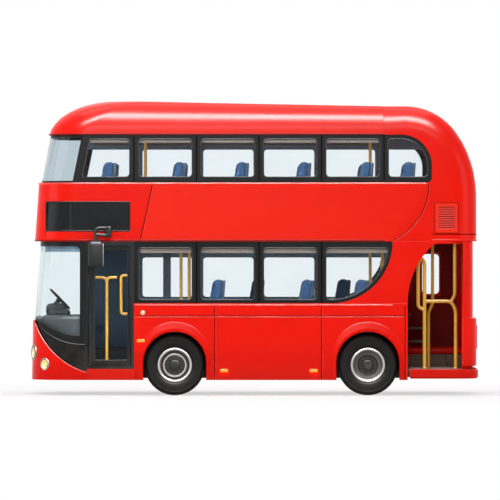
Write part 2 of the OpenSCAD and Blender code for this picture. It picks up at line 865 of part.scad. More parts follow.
module lower_bands() color(black) {
    across(hw - wall_t, hw - band_inset) difference() {
        lower_band_outline(bay_start + fit);
        lower_panes();
    }
    off() across(hw - wall_t, hw - band_inset) difference() {
        lower_band_outline(nose_end);
        lower_panes();
        cab_pane();
    }
}

module side_glass() color(glass) {
    y = hw - band_inset - side_gap;
    both() across(y - glass_t, y) {
        upper_panes(-fit);
        lower_panes(-fit);
    }
    off() across(y - glass_t, y) cab_pane(-fit);
}

module linings() color(lining) {
    pane_edge = 6;
    both() across(deck_hw - lining_t, deck_hw) difference() {
        panel(900, roof_seam - 14, deck_z + fit, eave_z - fit);
        upper_panes(pane_edge);
    }
    across(deck_hw - lining_t, deck_hw) difference() {
        panel(bay_start + 40, lower_band_end, box_z + 2 * fit, deck_z - deck_t - fit);
        lower_panes(pane_edge);
    }
    off() across(deck_hw - lining_t, deck_hw) difference() {
        panel(bay_start - 40, lower_band_end, box_z + 2 * fit, deck_z - deck_t - fit);
        lower_panes(pane_edge);
    }
}

module arch_flare(d) across(hw + fit, hw + flare_proud) difference() {
    intersection() {
        union() {
            translate([at(d), tyre_r + flare_rise]) circle(flare_r);
            panel(d - flare_half, d + flare_half, 0, tyre_r + flare_rise);
        }
        panel(d - big, d + big, skirt_z, big);
    }
    arch_cut(d);
}

module arch_flares() color(red) both() {
    arch_flare(front_axle);
    arch_flare(rear_axle_d);
}

// Front entrance

module door_frame() color(black) difference() {
    across(hw - band_inset - frame_t, hw - band_inset) difference() {
        panel(nose_end, bay_start - fit, floor_z, lower_band_hi - fit);
        panel(door_start, door_start + door_w, door_lo - jamb, door_hi + jamb);
    }
    hinge_pin(run, 2);
}

module hinge_pin(grow = 0, longer = 0) {
    reach = pin_in + longer;
    translate([at(hinge_d), hinge_y, door_lo - reach])
        cylinder(r = hinge_r + grow, h = door_hi - door_lo + 2 * reach);
}

module door_sill() color(red)
    across(hw - wall_t, hw) panel(nose_end, bay_start - fit, skirt_z, floor_z - fit);

module leaf_pane(grow = 0)
    panel(leaf_pane_d[0] - grow, leaf_pane_d[1] + grow, leaf_pane_z[0] - grow, leaf_pane_z[1] + grow, 30);

module door_leaf() color(black) {
    across(hinge_y - leaf_t / 2, hinge_y + leaf_t / 2) difference() {
        panel(door_start + door_gap, door_start + door_w - door_gap, door_lo, door_hi);
        leaf_pane();
    }
    hinge_pin();
}

module door_glass() color(glass) across(hinge_y - glass_t / 2, hinge_y + glass_t / 2) leaf_pane(-fit);

// Handrails on the inside of the leaf
module door_rails() color(gold) {
    r = 16;
    face = hinge_y - leaf_t / 2 - fit;
    y = face - 45;
    front = door_start + 75;
    post = door_start + 285;
    rear = door_start + door_w - 45;
    tee = 1780;
    foot = door_lo + 40;
    tube([[at(front), face, tee], [at(front), y, tee], [at(post), y, tee], [at(post), y, foot],
        [at(post), face, foot]], r);
    grip = [1230, 1810];
    tube([[at(rear), face, grip[1]], [at(rear), y, grip[1]], [at(rear - 110), y, grip[1]],
        [at(rear - 110), y, grip[0]], [at(rear), y, grip[0]], [at(rear), face, grip[0]]], r);
}

// Lamps and trim

lamp_depth = 36;
lamp_proud = 4;
lamp_back = 8;                   // the bumper's lean at the lamps
vent_d = [tail - 637, tail - 290];
vent_z = [2455, 2900];
vent_proud = 8;

// Round lamp on the nose corner, its axis at angle a off the side
module lamp(a, z, r) {
    translate([at(bumper_d + nose_r + lamp_back), hw - nose_r, z]) rotate([0, 0, 90 - a]) rotate([0, 90, 0])
        translate([0, 0, nose_r - lamp_depth]) cylinder(r = r, h = lamp_depth + lamp_proud);
}

module front_lamps(grow = 0) {
    lamp(72, 640, 115 + grow);
    lamp(43, 470, 85 + grow);
}

module headlamps() color("#fff4d8") both() front_lamps();

module side_markers() color("#ff9a1a") both()
    for (p = [[front_axle - 536, 825], [front_axle + 744, 375], [rear_axle_d - 821, 375]])
        across(hw + fit, hw + 16) panel(p[0] - 35, p[0] + 35, p[1] - 14, p[1] + 14, 13);

module tail_lamps() color("#b01010") both()
    translate([at(tail) - 12, hw - rear_r - 110, 700]) cube([12 - fit, 90, 360]);

module vent_grilles() color("#b81004") both() intersection() {
    slat = 31;
    translate([0, 0, lower_band_hi]) linear_extrude(upper_band_lo - lower_band_hi) difference() {
        plan_tail(at(tail) - vent_proud, hw + vent_proud, edge_r + vent_proud, at(roof_seam));
        plan_tail(at(tail) - fit, hw + fit, edge_r + fit, at(roof_seam - over));
    }
    across(0, big) difference() {
        panel(vent_d[0], vent_d[1], vent_z[0], vent_z[1], 25);
        for (i = [0:10]) panel(vent_d[0] + 58, vent_d[1] - 47, vent_z[0] + 55 + i * slat,
            vent_z[0] + 55 + i * slat + 16);
    }
}

mirror_z = 2560;                 // height of the mirror arm's root
mirror_arm = hw + 170;
module mirrors() color(black) both() {
    across(hw + fit, hw + 60) panel(1020, 1140, mirror_z - 80, mirror_z + 80, 30);
    tube([[at(1080), hw + 50, mirror_z], [at(1080), mirror_arm - 40, mirror_z],
        [at(1040), mirror_arm, mirror_z], [at(970), mirror_arm, mirror_z],
        [at(930), mirror_arm, mirror_z - 40], [at(930), mirror_arm, mirror_z - 270]], 22);
    across(hw + 90, hw + 250) panel(820, 1040, mirror_z - 640, mirror_z - 240, 55);
}

// Cab and saloon

module cab() color(black) difference() {
    union() {
        translate([0, 0, dash_z - dash_t]) linear_extrude(dash_t) intersection() {
            plan_nose(at(dash_d[0]), hw - wall_t - 75, nose_r - 125, at(dash_d[1]));
            translate([at(dash_d[1]), -hw]) square([big, hw - 30]);
        }
        translate([at(1400), -cab_out, floor_z + fit]) cube([840, cab_out - cab_in, cab_h]);
        translate([at(dash_d[1]), cab_step - cab_out, floor_z + cab_h - over])
            cube([60, cab_out - cab_in, dash_z - dash_t - floor_z - cab_h + 2 * over]);
        translate([at(dash_d[1] + 160), cab_step - cab_out, floor_z + fit])
            cube([220, cab_out - cab_in - cab_step, cab_h]);
        steer_frame() translate([0, 0, -250]) cylinder(r = 32, h = 184);
    }
    steer_frame() translate([0, 0, -130]) cylinder(r = shaft_r + run, h = 200);
}

module steer_frame() translate([at(steer_d), steer_y, steer_z]) rotate([0, -steer_tilt, 0]) children();

module driver_seat() color(blue) {
    foot = floor_z + cab_h + 2 * fit;
    translate([at(driver_d - 90), steer_y - driver_w / 2 + 30, foot]) cube([240, driver_w - 60, 340]);
    across(steer_y - driver_w / 2, steer_y + driver_w / 2) {
        panel(driver_d - 380, driver_d, foot + 340, foot + 460, [50, 20, 20, 50]);
        panel(driver_d - 110, driver_d, foot + 340, foot + 960, [0, 20, 50, 50]);
    }
}

// Both places of a double seat: an outline in X and Z from the back's rear face
module places(row) for (k = [0, 1])
    translate([at(row[2]), row[1] * seat_y + (k - 1) * seat_w / 2 + seat_gap / 2, row[0]])
        across(0, seat_w / 2 - seat_gap) children();

module seat_cushions() color(blue) for (row = seat_rows) places(row) {
    r = seat_t / 2;
    translate([0, cushion_z - seat_t]) square([seat_l - r, seat_t]);
    translate([seat_l - r, cushion_z - r]) circle(r);
}

module seat_backs() color(blue) for (row = seat_rows) places(row) {
    top = seat_h - back_r;
    polygon([[0, cushion_z + fit], [back_foot, cushion_z + fit],
        [2 * back_r - back_lean, top], [-back_lean, top]]);
    translate([back_r - back_lean, top]) circle(back_r);
}

// Depth of a seat's legs: lower-deck seats stand on the floor, not on the podium
function leg_drop(row) = row[0] == deck_z ? 0 : podium_z;

module seat_legs() color(steel) for (row = seat_rows) {
    y = row[1] * (seat_y - seat_w / 2 + 100);
    translate([at(row[2]) + 180, y - leg_w / 2, row[0] - leg_drop(row) + fit])
        cube([leg_w, leg_w, cushion_z - seat_t - pan_t - 3 * fit + leg_drop(row)]);
}

module seat_frames() color(steel) for (row = seat_rows)
    translate([at(row[2]) + 40, row[1] * seat_y - seat_w / 2 + 30, row[0] + cushion_z - seat_t - pan_t - fit])
        cube([360, seat_w - 60, pan_t]);

// Grab poles of the saloons and bent rails of the platform
module grab_poles() color(gold) {
    ceiling = deck_z - deck_t - fit;
    low = floor_z + fit;
    bend = 1420;                 // height of the rail across the platform
    for (d = [bay_start + 155, rear_axle_d + 54])
        tube([[at(d), pole_y, deck_z + fit], [at(d), pole_y, crown_z(d, wall_t) - 2]], pole_r);
    for (d = [front_axle + 84, front_axle + 208, rear_axle_d + 54, rear_axle_d + 239])
        tube([[at(d), pole_y, low], [at(d), pole_y, ceiling]], pole_r);
    hoop = [[792, low], [792, 2000], [840, 2075], [888, 2000], [888, 1330], [792, 1290]];
    tube([for (p = hoop) [at(tail - p[0]), door_side, p[1]]], hoop_r);
    tube([[at(tail - 320), platform_side, low], [at(tail - 320), platform_side, bend - 130],
        [at(tail - 388), platform_side, bend], [at(tail - 792), door_side, bend]], hoop_r);
    tube([[at(tail - 335), platform_side, ceiling], [at(tail - 335), platform_side, bend + 90],
        [at(tail - 388), platform_side, bend]], pole_r);
    tube([[at(tail - 658), aisle_side, ceiling], [at(tail - 658), aisle_side, bend - 55],
        [at(tail - 718), aisle_side, bend - 160], [at(tail - 718), aisle_side, low]], pole_r);
}

module staircase() color("#4a3a30") {
    translate([at(stair_d), stair_y, floor_z + fit]) cylinder(r = newel_r, h = deck_z + newel_over - floor_z);
    for (i = [1:risers - 2]) translate([at(stair_d), stair_y, floor_z + (i + 1) * rise - tread_t])
        rotate([0, 0, stair_first + i * stair_turn]) rotate_extrude(angle = stair_turn + 1)
            translate([newel_r - 5, 0]) square([stair_r - newel_r, tread_t]);
    landing = [landing_l, stair_y + stair_r + stair_gap + cab_out, rise - fit];
    difference() {
        translate([at(landing_d), -cab_out, floor_z + fit]) cube(landing);
        translate([at(landing_d) + landing_t, -cab_out - landing_t, 0])
            cube([landing_l - 2 * landing_t, landing[1], floor_z + rise - landing_t - 5]);
    }
}

// Axles, steering and wheels

pad_r = 38;                      // spring pads between axles and frame rails
fist = 60;                       // half height of the axle's end at the kingpin
yoke = 95;                       // half height of the knuckle's fork

module beam_outline() {
    half = [[0, 160], [kingpin_y - 375, 160], [kingpin_y - 70, tyre_r - fist], [kingpin_y, tyre_r - fist],
        [kingpin_y, tyre_r + fist], [kingpin_y - 90, tyre_r + fist], [kingpin_y - 415, 240], [0, 240]];
    polygon(half);
    mirror([1, 0]) polygon(half);
}

module front_axle() color(black) difference() {
    union() {
        translate([at(front_axle) - 45, 0, 0]) rotate([90, 0, 90]) linear_extrude(90) beam_outline();
        both() {
            translate([at(front_axle), kingpin_y, tyre_r - fist]) cylinder(r = 45, h = 2 * fist);
            translate([at(front_axle), rail_y, 235]) cylinder(r = pad_r, h = 25);
        }
    }
    both() translate([at(front_axle), kingpin_y, 0]) cylinder(r = kingpin_r, h = big);
}

module knuckle() {
    arm = [96, 125, 30];
    translate([at(front_axle), kingpin_y, tyre_r - yoke]) cylinder(r = kingpin_r - run, h = 2 * yoke);
    for (z = [tyre_r - yoke, tyre_r + yoke - arm[2]])
        translate([at(front_axle) - arm[0] / 2, kingpin_y - 45, z]) cube(arm);
    translate([at(front_axle) - arm[0] / 2, kingpin_y + 55, tyre_r - yoke]) cube([arm[0], 25, 2 * yoke]);
    translate([at(front_axle), kingpin_y + 79, tyre_r]) rotate([-90, 0, 0])
        cylinder(r = hub_bore - run, h = 165);
}

module knuckle_left() color(steel) knuckle();
module knuckle_right() color(steel) off() knuckle();

module rear_axle() color(black) {
    translate([at(rear_axle_d), hub_y, 200]) rotate([90, 0, 0]) cylinder(r = 55, h = 2 * hub_y);
    both() {
        translate([at(rear_axle_d), rail_y, 250]) cylinder(r = pad_r, h = 10);
        translate([at(rear_axle_d) - 80, hub_y - carrier_t, 140]) cube([160, carrier_t, 400]);
        translate([at(rear_axle_d), hub_y - 1, tyre_r]) rotate([-90, 0, 0])
            cylinder(r = rear_bore - run, h = 560);
    }
}

module turned(d, y) translate([at(d), y, tyre_r]) rotate([-90, 0, 0]) rotate_extrude($fn = 96) children();

// Tyre section: bead, bulged side wall and shouldered tread
module tyre_section() {
    w = tyre_w / 2;
    half = [[rim_r, w - 25], [rim_r + 25, w - 6], [rim_r + 75, w], [tyre_r - 45, w - 4],
        [tyre_r - 8, w - 22], [tyre_r, w - 40]];
    polygon(concat(half, [for (i = [len(half) - 1:-1:0]) [half[i][0], -half[i][1]]]));
}

// Front rim: dished disc with a raised hub
module front_rim() turned(front_axle, front_wheel_y) {
    w = tyre_w / 2;
    polygon([[hub_bore, -40], [120, -40], [120, 60], [rim_r - 20, 60], [rim_r - 20, 10 - w],
        [rim_r - fit, 10 - w], [rim_r - fit, w - 4], [rim_r - 24, w - 4], [200, 84], [190, 95],
        [hub_bore, 95]]);
}

// Rear rim: one drum for both tyres, with a deep dish and a hub
module rear_rim() turned(rear_axle_d, rear_out_y) {
    w = tyre_w / 2;
    inner = 10 - w - tyre_w - twin_gap;
    polygon([[rear_bore, -60], [rim_r - 20, -60], [rim_r - 20, inner], [rim_r - fit, inner],
        [rim_r - fit, w - 4], [rim_r - 24, w - 4], [rim_r - 60, -20], [160, -20], [150, 70],
        [rear_bore, 70]]);
}

module front_tyre() turned(front_axle, front_wheel_y) tyre_section();
module rear_tyres() for (y = [rear_in_y, rear_out_y]) turned(rear_axle_d, y) tyre_section();

module tyre_front_left() color(black) front_tyre();
module tyre_front_right() color(black) off() front_tyre();
module tyre_rear_left() color(black) rear_tyres();
module tyre_rear_right() color(black) off() rear_tyres();
module rim_front_left() color(steel) front_rim();
module rim_front_right() color(steel) off() front_rim();
module rim_rear_left() color(steel) rear_rim();
module rim_rear_right() color(steel) off() rear_rim();

module steering_wheel() color(black) steer_frame() {
    rotate_extrude() translate([steer_r, 0]) circle(16);
    for (a = [90, 210, 330]) rotate(a) translate([0, -14, -6]) cube([steer_r - 5, 28, 12]);
    translate([0, 0, -60]) cylinder(r = 40, h = 70);
    translate([0, 0, -125]) cylinder(r = shaft_r, h = 70);
}

underframe();
engine_block();
lower_floor();
wheel_boxes();
upper_floor();
lower_side_near();
lower_side_off();
quarter_panels();
mid_sides();
roof();
rear_dome();
rear_wall();
platform_edge();
front_bumper();
front_mask();
windscreen_frame();
windscreens();
front_band();
destination_displays();
upper_front_frame();
upper_bands();
lower_bands();
side_glass();
rear_glass();
linings();
arch_flares();
door_frame();
door_sill();
headlamps();
side_markers();
tail_lamps();
vent_grilles();
mirrors();
cab();
driver_seat();
seat_cushions();
seat_backs();
seat_legs();
seat_frames();
grab_poles();
staircase();
front_axle();
rear_axle();
door_leaf();
door_glass();
door_rails();
knuckle_left();
knuckle_right();
steering_wheel();
tyre_front_left();
tyre_front_right();
tyre_rear_left();
tyre_rear_right();
rim_front_left();
rim_front_right();
rim_rear_left();
rim_rear_right();
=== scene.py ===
import math

import bmesh
import bpy
from mathutils import Matrix, Vector


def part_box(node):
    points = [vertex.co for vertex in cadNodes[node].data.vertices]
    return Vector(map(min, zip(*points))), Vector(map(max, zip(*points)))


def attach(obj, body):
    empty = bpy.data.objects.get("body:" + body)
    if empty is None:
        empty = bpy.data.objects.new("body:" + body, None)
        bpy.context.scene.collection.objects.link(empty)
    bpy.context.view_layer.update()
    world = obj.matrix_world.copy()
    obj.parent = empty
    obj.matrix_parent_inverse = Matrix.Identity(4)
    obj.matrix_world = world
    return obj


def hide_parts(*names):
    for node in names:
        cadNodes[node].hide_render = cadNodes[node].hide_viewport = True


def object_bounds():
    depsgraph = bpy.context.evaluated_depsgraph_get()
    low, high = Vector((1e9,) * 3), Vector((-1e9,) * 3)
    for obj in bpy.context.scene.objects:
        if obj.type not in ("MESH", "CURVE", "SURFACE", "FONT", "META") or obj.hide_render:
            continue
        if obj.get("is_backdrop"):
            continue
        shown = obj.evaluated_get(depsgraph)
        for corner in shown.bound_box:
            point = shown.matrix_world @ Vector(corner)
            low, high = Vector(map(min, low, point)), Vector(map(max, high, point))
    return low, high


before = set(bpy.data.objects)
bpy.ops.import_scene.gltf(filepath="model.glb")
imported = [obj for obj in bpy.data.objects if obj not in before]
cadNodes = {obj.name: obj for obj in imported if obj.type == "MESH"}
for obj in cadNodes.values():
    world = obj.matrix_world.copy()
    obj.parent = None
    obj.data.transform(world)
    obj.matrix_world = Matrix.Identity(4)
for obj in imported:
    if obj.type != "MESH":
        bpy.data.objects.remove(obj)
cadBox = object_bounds()
print("frame loaded:", len(cadNodes), "nodes")

# main sizes of the bus in metres, as in the part's source
bus = {"nose": 3.343, "half": 1.26, "bandInset": 0.012, "floor": 0.4, "deck": 2.42, "deckThick": 0.06,
       "tail": 6.700, "frontAxle": 2.136, "rearAxle": 5.051, "tyreRadius": 0.455, "wheelY": 1.085,
       "innerWheelY": 0.775}


def station(d):  # X of station d
    return bus["nose"] - d


# camera square to the kerb side
cameraSet = {"lens": 429.6, "sensor": 36, "far": 300, "spot": (0.0713, 91.26, 2.194),
             "aim": (0.0713, 1.26, 2.194)}
camera = bpy.data.objects.new("camera", bpy.data.cameras.new("camera"))
camera.data.lens = cameraSet["lens"]
camera.data.sensor_width = cameraSet["sensor"]
camera.data.clip_end = cameraSet["far"]
camera.location = cameraSet["spot"]
lookAlong = Vector(cameraSet["aim"]) - Vector(cameraSet["spot"])
camera.rotation_euler = lookAlong.to_track_quat("-Z", "Y").to_euler()
bpy.context.collection.objects.link(camera)
bpy.context.scene.camera = camera
bpy.context.scene.view_settings.view_transform = "Standard"


def addNode(tree, kind, **settings):
    node = tree.nodes.new(kind)
    for key, value in settings.items():
        setattr(node, key, value)
    return node


def feed(tree, socket, value):  # a link for a socket, a plain value for anything else
    if isinstance(value, bpy.types.NodeSocket):
        tree.links.new(value, socket)
    else:
        socket.default_value = value


def feedAll(tree, node, **values):  # inputs by name, an underscore for each space
    for key, value in values.items():
        feed(tree, node.inputs[key.replace("_", " ")], value)


def mathNode(tree, operation, *values, clamp=False):
    node = addNode(tree, "ShaderNodeMath", operation=operation, use_clamp=clamp)
    for socket, value in zip(node.inputs, values):
        feed(tree, socket, value)
    return node.outputs[0]


def mixColour(tree, factor, first, second):
    node = addNode(tree, "ShaderNodeMix", data_type="RGBA")
    for socket, value in zip((node.inputs[0], node.inputs[6], node.inputs[7]), (factor, first, second)):
        feed(tree, socket, value)
    return node.outputs[2]


def spread(tree, value, fromLow, fromHigh, toLow=0.0, toHigh=1.0, smooth=False):
    node = addNode(tree, "ShaderNodeMapRange", interpolation_type="SMOOTHSTEP" if smooth else "LINEAR")
    for socket, entry in zip(node.inputs, (value, fromLow, fromHigh, toLow, toHigh)):
        feed(tree, socket, entry)
    return node.outputs[0]


def objectCoords(tree):
    return addNode(tree, "ShaderNodeTexCoord").outputs["Object"]


def noiseValue(tree, scale, detail):
    node = addNode(tree, "ShaderNodeTexNoise")
    feedAll(tree, node, Vector=objectCoords(tree), Scale=scale, Detail=detail, Roughness=0.5)
    return node.outputs["Fac"]


def newMaterial(name):
    material = bpy.data.materials.new(name)
    material.use_nodes = True
    return material, material.node_tree, material.node_tree.nodes["Principled BSDF"]


def blendShaders(tree, factor, first, second):
    node = addNode(tree, "ShaderNodeMixShader")
    for socket, value in zip(node.inputs, (factor, first, second)):
        feed(tree, socket, value)
    feed(tree, tree.nodes["Material Output"].inputs["Surface"], node.outputs[0])


def seenRay(tree):  # camera, mirror and glass rays see the plain white background
    rays = addNode(tree, "ShaderNodeLightPath")
    seen = mathNode(tree, "ADD", rays.outputs["Is Camera Ray"], rays.outputs["Is Glossy Ray"])
    return mathNode(tree, "ADD", seen, rays.outputs["Is Transmission Ray"], clamp=True)


studio = {"sky": (0.93, 0.96, 1.0, 1), "skyLight": 0.5, "floor": (0.86, 0.86, 0.86, 1), "floorRough": 0.9,
          "reach": 90, "fadeFrom": 3.4, "fadeTo": 9.0, "pale": 0.6}
world = bpy.data.worlds.new("studio")
bpy.context.scene.world = world
world.use_nodes = True
worldTree = world.node_tree
sky = mixColour(worldTree, seenRay(worldTree), studio["sky"], (1, 1, 1, 1))
feedAll(worldTree, worldTree.nodes["Background"], Color=sky,
        Strength=spread(worldTree, seenRay(worldTree), 0, 1, studio["skyLight"], 1))

floorMesh = bpy.data.meshes.new("studioFloor")
far = studio["reach"]
floorMesh.from_pydata([(-far, -far, 0), (far, -far, 0), (far, far, 0), (-far, far, 0)], [], [(0, 1, 2, 3)])
studioFloor = bpy.data.objects.new("studioFloor", floorMesh)
bpy.context.collection.objects.link(studioFloor)
studioFloor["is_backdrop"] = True
floorMaterial, floorTree, floorShader = newMaterial("paleFloor")
feedAll(floorTree, floorShader, Base_Color=studio["floor"], Roughness=studio["floorRough"],
        Specular_IOR_Level=0.0)
reach = addNode(floorTree, "ShaderNodeVectorMath", operation="LENGTH")
feed(floorTree, reach.inputs[0], objectCoords(floorTree))
fade = spread(floorTree, reach.outputs["Value"], studio["fadeFrom"], studio["fadeTo"], studio["pale"],
              smooth=True)
fade = mathNode(floorTree, "MULTIPLY", fade, seenRay(floorTree))
white = addNode(floorTree, "ShaderNodeEmission")
feedAll(floorTree, white, Strength=1.0)
blendShaders(floorTree, fade, floorShader.outputs[0], white.outputs[0])
floorMesh.materials.append(floorMaterial)

# soft boxes: place, aim, width, height, watts
softBoxes = {
    "kerbBox": ((2.5, 13, 6.5), (0, 0, 2.2), 9, 5, 620),
    "roofBox": ((0.0, -1.0, 10.5), (0, 0, 4.1), 11, 6, 620),
    "frontBox": ((12, 3, 5), (2, 0, 2), 5, 5, 300),
    "offBox": ((-3, -12, 6), (0, 0, 2), 9, 5, 380),
    "rearBox": ((-11, 4, 4.5), (-3, 0, 2), 4, 5, 190),
    "roofCard": ((0, 4.50, 9.82), (0, 1.1, 4.2), 12, 1.9, 9600),
    "edgeCard": ((0, 9.0, 7.6), (0, 1.26, 3.0), 12, 0.9, 700),
}
glossOnly = {"roofCard", "edgeCard"}  # reflectors that show in the paint and light nothing
for boxName, (spot, aim, width, height, watts) in softBoxes.items():
    lamp = bpy.data.objects.new(boxName, bpy.data.lights.new(boxName, "AREA"))
    lamp.data.shape = "RECTANGLE"
    lamp.data.size = width
    lamp.data.size_y = height
    lamp.data.energy = watts
    lamp.location = spot
    lamp.rotation_euler = (Vector(aim) - Vector(spot)).to_track_quat("-Z", "Y").to_euler()
    lamp.visible_diffuse = boxName not in glossOnly
    lamp.visible_transmission = False
    bpy.context.collection.objects.link(lamp)
print("camera, floor and", len(softBoxes), "soft boxes set")

noiseSpan = (0.3, 0.7)  # the part of a noise that is stretched to the full range


def makeGroup(name, inputs, outputs):
    group = bpy.data.node_groups.new(name, "ShaderNodeTree")
    kinds = {"value": "NodeSocketFloat", "colour": "NodeSocketColor"}
    for label, kind, value in inputs:
        group.interface.new_socket(label, in_out="INPUT", socket_type=kinds[kind]).default_value = value
    for label, kind in outputs:
        group.interface.new_socket(label, in_out="OUTPUT", socket_type=kinds[kind])
    return group, group.nodes.new("NodeGroupInput").outputs, group.nodes.new("NodeGroupOutput").inputs


# fine grain: a height for bumps and a roughness that wanders between two values
fineGrain, given, out = makeGroup(
    "fineGrain",
    [("Scale", "value", 300.0), ("Low", "value", 0.3), ("High", "value", 0.5)],
    [("Height", "value"), ("Roughness", "value")])
feed(fineGrain, out["Height"], noiseValue(fineGrain, given["Scale"], 4))
patches = noiseValue(fineGrain, 2.3, 3)
feed(fineGrain, out["Roughness"], spread(fineGrain, patches, *noiseSpan, given["Low"], given["High"]))

# road dust and painted shade: a second colour gathers towards the ground in soft patches; on the red paint it
# is a painted shade, a darker red lower down
roadDust, given, out = makeGroup(
    "roadDust",
    [("Color", "colour", (1, 1, 1, 1)), ("Dust", "colour", (0.2, 0.17, 0.14, 1)),
     ("Reach", "value", 1.0), ("Amount", "value", 0.3), ("Even", "value", 0.0)],
    [("Color", "colour"), ("Mask", "value")])
height = addNode(roadDust, "ShaderNodeSeparateXYZ")
feed(roadDust, height.inputs[0], objectCoords(roadDust))
low = spread(roadDust, height.outputs["Z"], given["Reach"], 0.0, smooth=True)
cloud = spread(roadDust, noiseValue(roadDust, 5.0, 5), 0.35, 0.7)
cloud = mathNode(roadDust, "MAXIMUM", cloud, given["Even"])
mask = mathNode(roadDust, "MULTIPLY", mathNode(roadDust, "MULTIPLY", low, cloud), given["Amount"])
feed(roadDust, out["Color"], mixColour(roadDust, mask, given["Color"], given["Dust"]))
feed(roadDust, out["Mask"], mask)

# edge wear and painted highlight: edges that stand out get a second colour, rubbed wear on most finishes and
# a painted highlight on the red paint
edgeWearAndHighlight, given, out = makeGroup(
    "edgeWearAndHighlight",
    [("Color", "colour", (1, 1, 1, 1)), ("Worn", "colour", (1, 1, 1, 1)), ("Amount", "value", 0.3)],
    [("Color", "colour"), ("Mask", "value")])
ridge = addNode(edgeWearAndHighlight, "ShaderNodeNewGeometry").outputs["Pointiness"]
ridge = spread(edgeWearAndHighlight, ridge, 0.52, 0.6, smooth=True)
ridge = mathNode(edgeWearAndHighlight, "MULTIPLY", ridge, given["Amount"])
feed(edgeWearAndHighlight, out["Color"], mixColour(edgeWearAndHighlight, ridge, given["Color"], given["Worn"]))
feed(edgeWearAndHighlight, out["Mask"], ridge)

# cloth weave: crossed threads with a height and a shade
clothWeave, given, out = makeGroup(
    "clothWeave", [("Threads", "value", 260.0)], [("Height", "value"), ("Shade", "value")])
threads = []
for direction in ("X", "Z"):
    wave = addNode(clothWeave, "ShaderNodeTexWave", bands_direction=direction)
    feedAll(clothWeave, wave, Vector=objectCoords(clothWeave), Scale=given["Threads"], Distortion=1.2,
            Detail=1.0)
    threads.append(wave.outputs["Fac"])
woven = mathNode(clothWeave, "MAXIMUM", *threads)
feed(clothWeave, out["Height"], woven)
fluff = spread(clothWeave, noiseValue(clothWeave, 40.0, 4), *noiseSpan, 0.6, 1)
feed(clothWeave, out["Shade"], mathNode(clothWeave, "MULTIPLY", woven, fluff))


def useGroup(tree, group, **values):
    node = addNode(tree, "ShaderNodeGroup", node_tree=group)
    feedAll(tree, node, **values)
    return node.outputs


def bumpNormal(tree, shader, height, strength, distance):
    bump = addNode(tree, "ShaderNodeBump")
    feedAll(tree, bump, Strength=strength, Distance=distance, Height=height)
    feedAll(tree, shader, Normal=bump.outputs[0])


def finish(name, colour, rough, grain, bump, wornAndHighlight=None, wearAndHighlight=0.3, dustAndShade=0.0, dustAndShadeReach=1.0,
           dustAndShadeTone=(0.2, 0.17, 0.14), even=0.0, metal=0.0, spec=0.5, coat=0.0, coatRough=0.1, vary=0.08,
           varyScale=3.0):
    material, tree, shader = newMaterial(name)
    cloud = noiseValue(tree, varyScale, 3)
    deep = tuple(c * (1 - vary) for c in colour) + (1,)
    bright = tuple(min(1, c * (1 + vary)) for c in colour) + (1,)
    tone = mixColour(tree, spread(tree, cloud, *noiseSpan), deep, bright)
    if wornAndHighlight:
        tone = useGroup(tree, edgeWearAndHighlight, Color=tone, Worn=wornAndHighlight + (1,), Amount=wearAndHighlight)["Color"]
    if dustAndShade:
        tone = useGroup(tree, roadDust, Color=tone, Dust=dustAndShadeTone + (1,), Reach=dustAndShadeReach, Amount=dustAndShade,
                        Even=even)["Color"]
    grained = useGroup(tree, fineGrain, Scale=grain, Low=rough[0], High=rough[1])
    bumpNormal(tree, shader, grained["Height"], bump, 0.001)
    feedAll(tree, shader, Base_Color=tone, Roughness=grained["Roughness"], Metallic=metal,
            Specular_IOR_Level=spec, Coat_Weight=coat, Coat_Roughness=coatRough)
    return material


# red paint: the darker red towards the ground is painted shade
# the lighter red on standing edges is a painted highlight
redPaint = finish("redPaint", (0.83, 0.0068, 0.0006), (0.2, 0.27), 55, 0.03, wornAndHighlight=(0.95, 0.05, 0.02),
                  wearAndHighlight=0.5, dustAndShade=0.7, dustAndShadeReach=1.0, dustAndShadeTone=(0.42, 0.002, 0.0006), even=0.8, spec=0.035,
                  coat=0.105, coatRough=0.3, vary=0.03)
# lighter red for the lip beads and the beads beside seams: a painted highlight
paintedHighlightRed = finish("paintedHighlightRed", (0.92, 0.028, 0.014), (0.25, 0.32), 80, 0.03, spec=0.25, coat=0.2, coatRough=0.2,
                vary=0.04)
# darker red for the beads under the eave and under the mid band: a painted shade
paintedShadeRed = finish("paintedShadeRed", (0.30, 0.003, 0.0006), (0.3, 0.4), 80, 0.03, spec=0.05, vary=0.05)
# dark red for seams, and for the backing behind the vent louvres, where it is painted shade
seamAndShadeRed = finish("seamAndShadeRed", (0.10, 0.0010, 0.0005), (0.7, 0.9), 55, 0.03, spec=0.0, vary=0.05)
blackBand = finish("blackBand", (0.0085, 0.0088, 0.0088), (0.3, 0.4), 240, 0.04, wornAndHighlight=(0.05, 0.05, 0.052),
                   wearAndHighlight=0.5, dustAndShade=0.2, dustAndShadeReach=1.2, spec=0.09)
seamBlack = finish("seamBlack", (0.0012, 0.0012, 0.0012), (0.7, 0.9), 240, 0.04, spec=0.0)
blackPlastic = finish("blackPlastic", (0.013, 0.0135, 0.014), (0.36, 0.5), 700, 0.2, wornAndHighlight=(0.05, 0.05, 0.05),
                      wearAndHighlight=0.4, dustAndShade=0.2, dustAndShadeReach=0.9, spec=0.18)
chassisBlack = finish("chassisBlack", (0.012, 0.012, 0.013), (0.6, 0.8), 120, 0.25, wornAndHighlight=(0.05, 0.045, 0.04),
                      dustAndShade=0.4, spec=0.15)
rubberSeal = finish("rubberSeal", (0.022, 0.023, 0.025), (0.4, 0.55), 900, 0.3, spec=0.14)
tyreRubber = finish("tyreRubber", (0.0048, 0.0041, 0.0036), (0.42, 0.52), 500, 0.2, wornAndHighlight=(0.02, 0.018, 0.016),
                    wearAndHighlight=0.5, dustAndShade=0.06, dustAndShadeReach=0.4, spec=0.13)
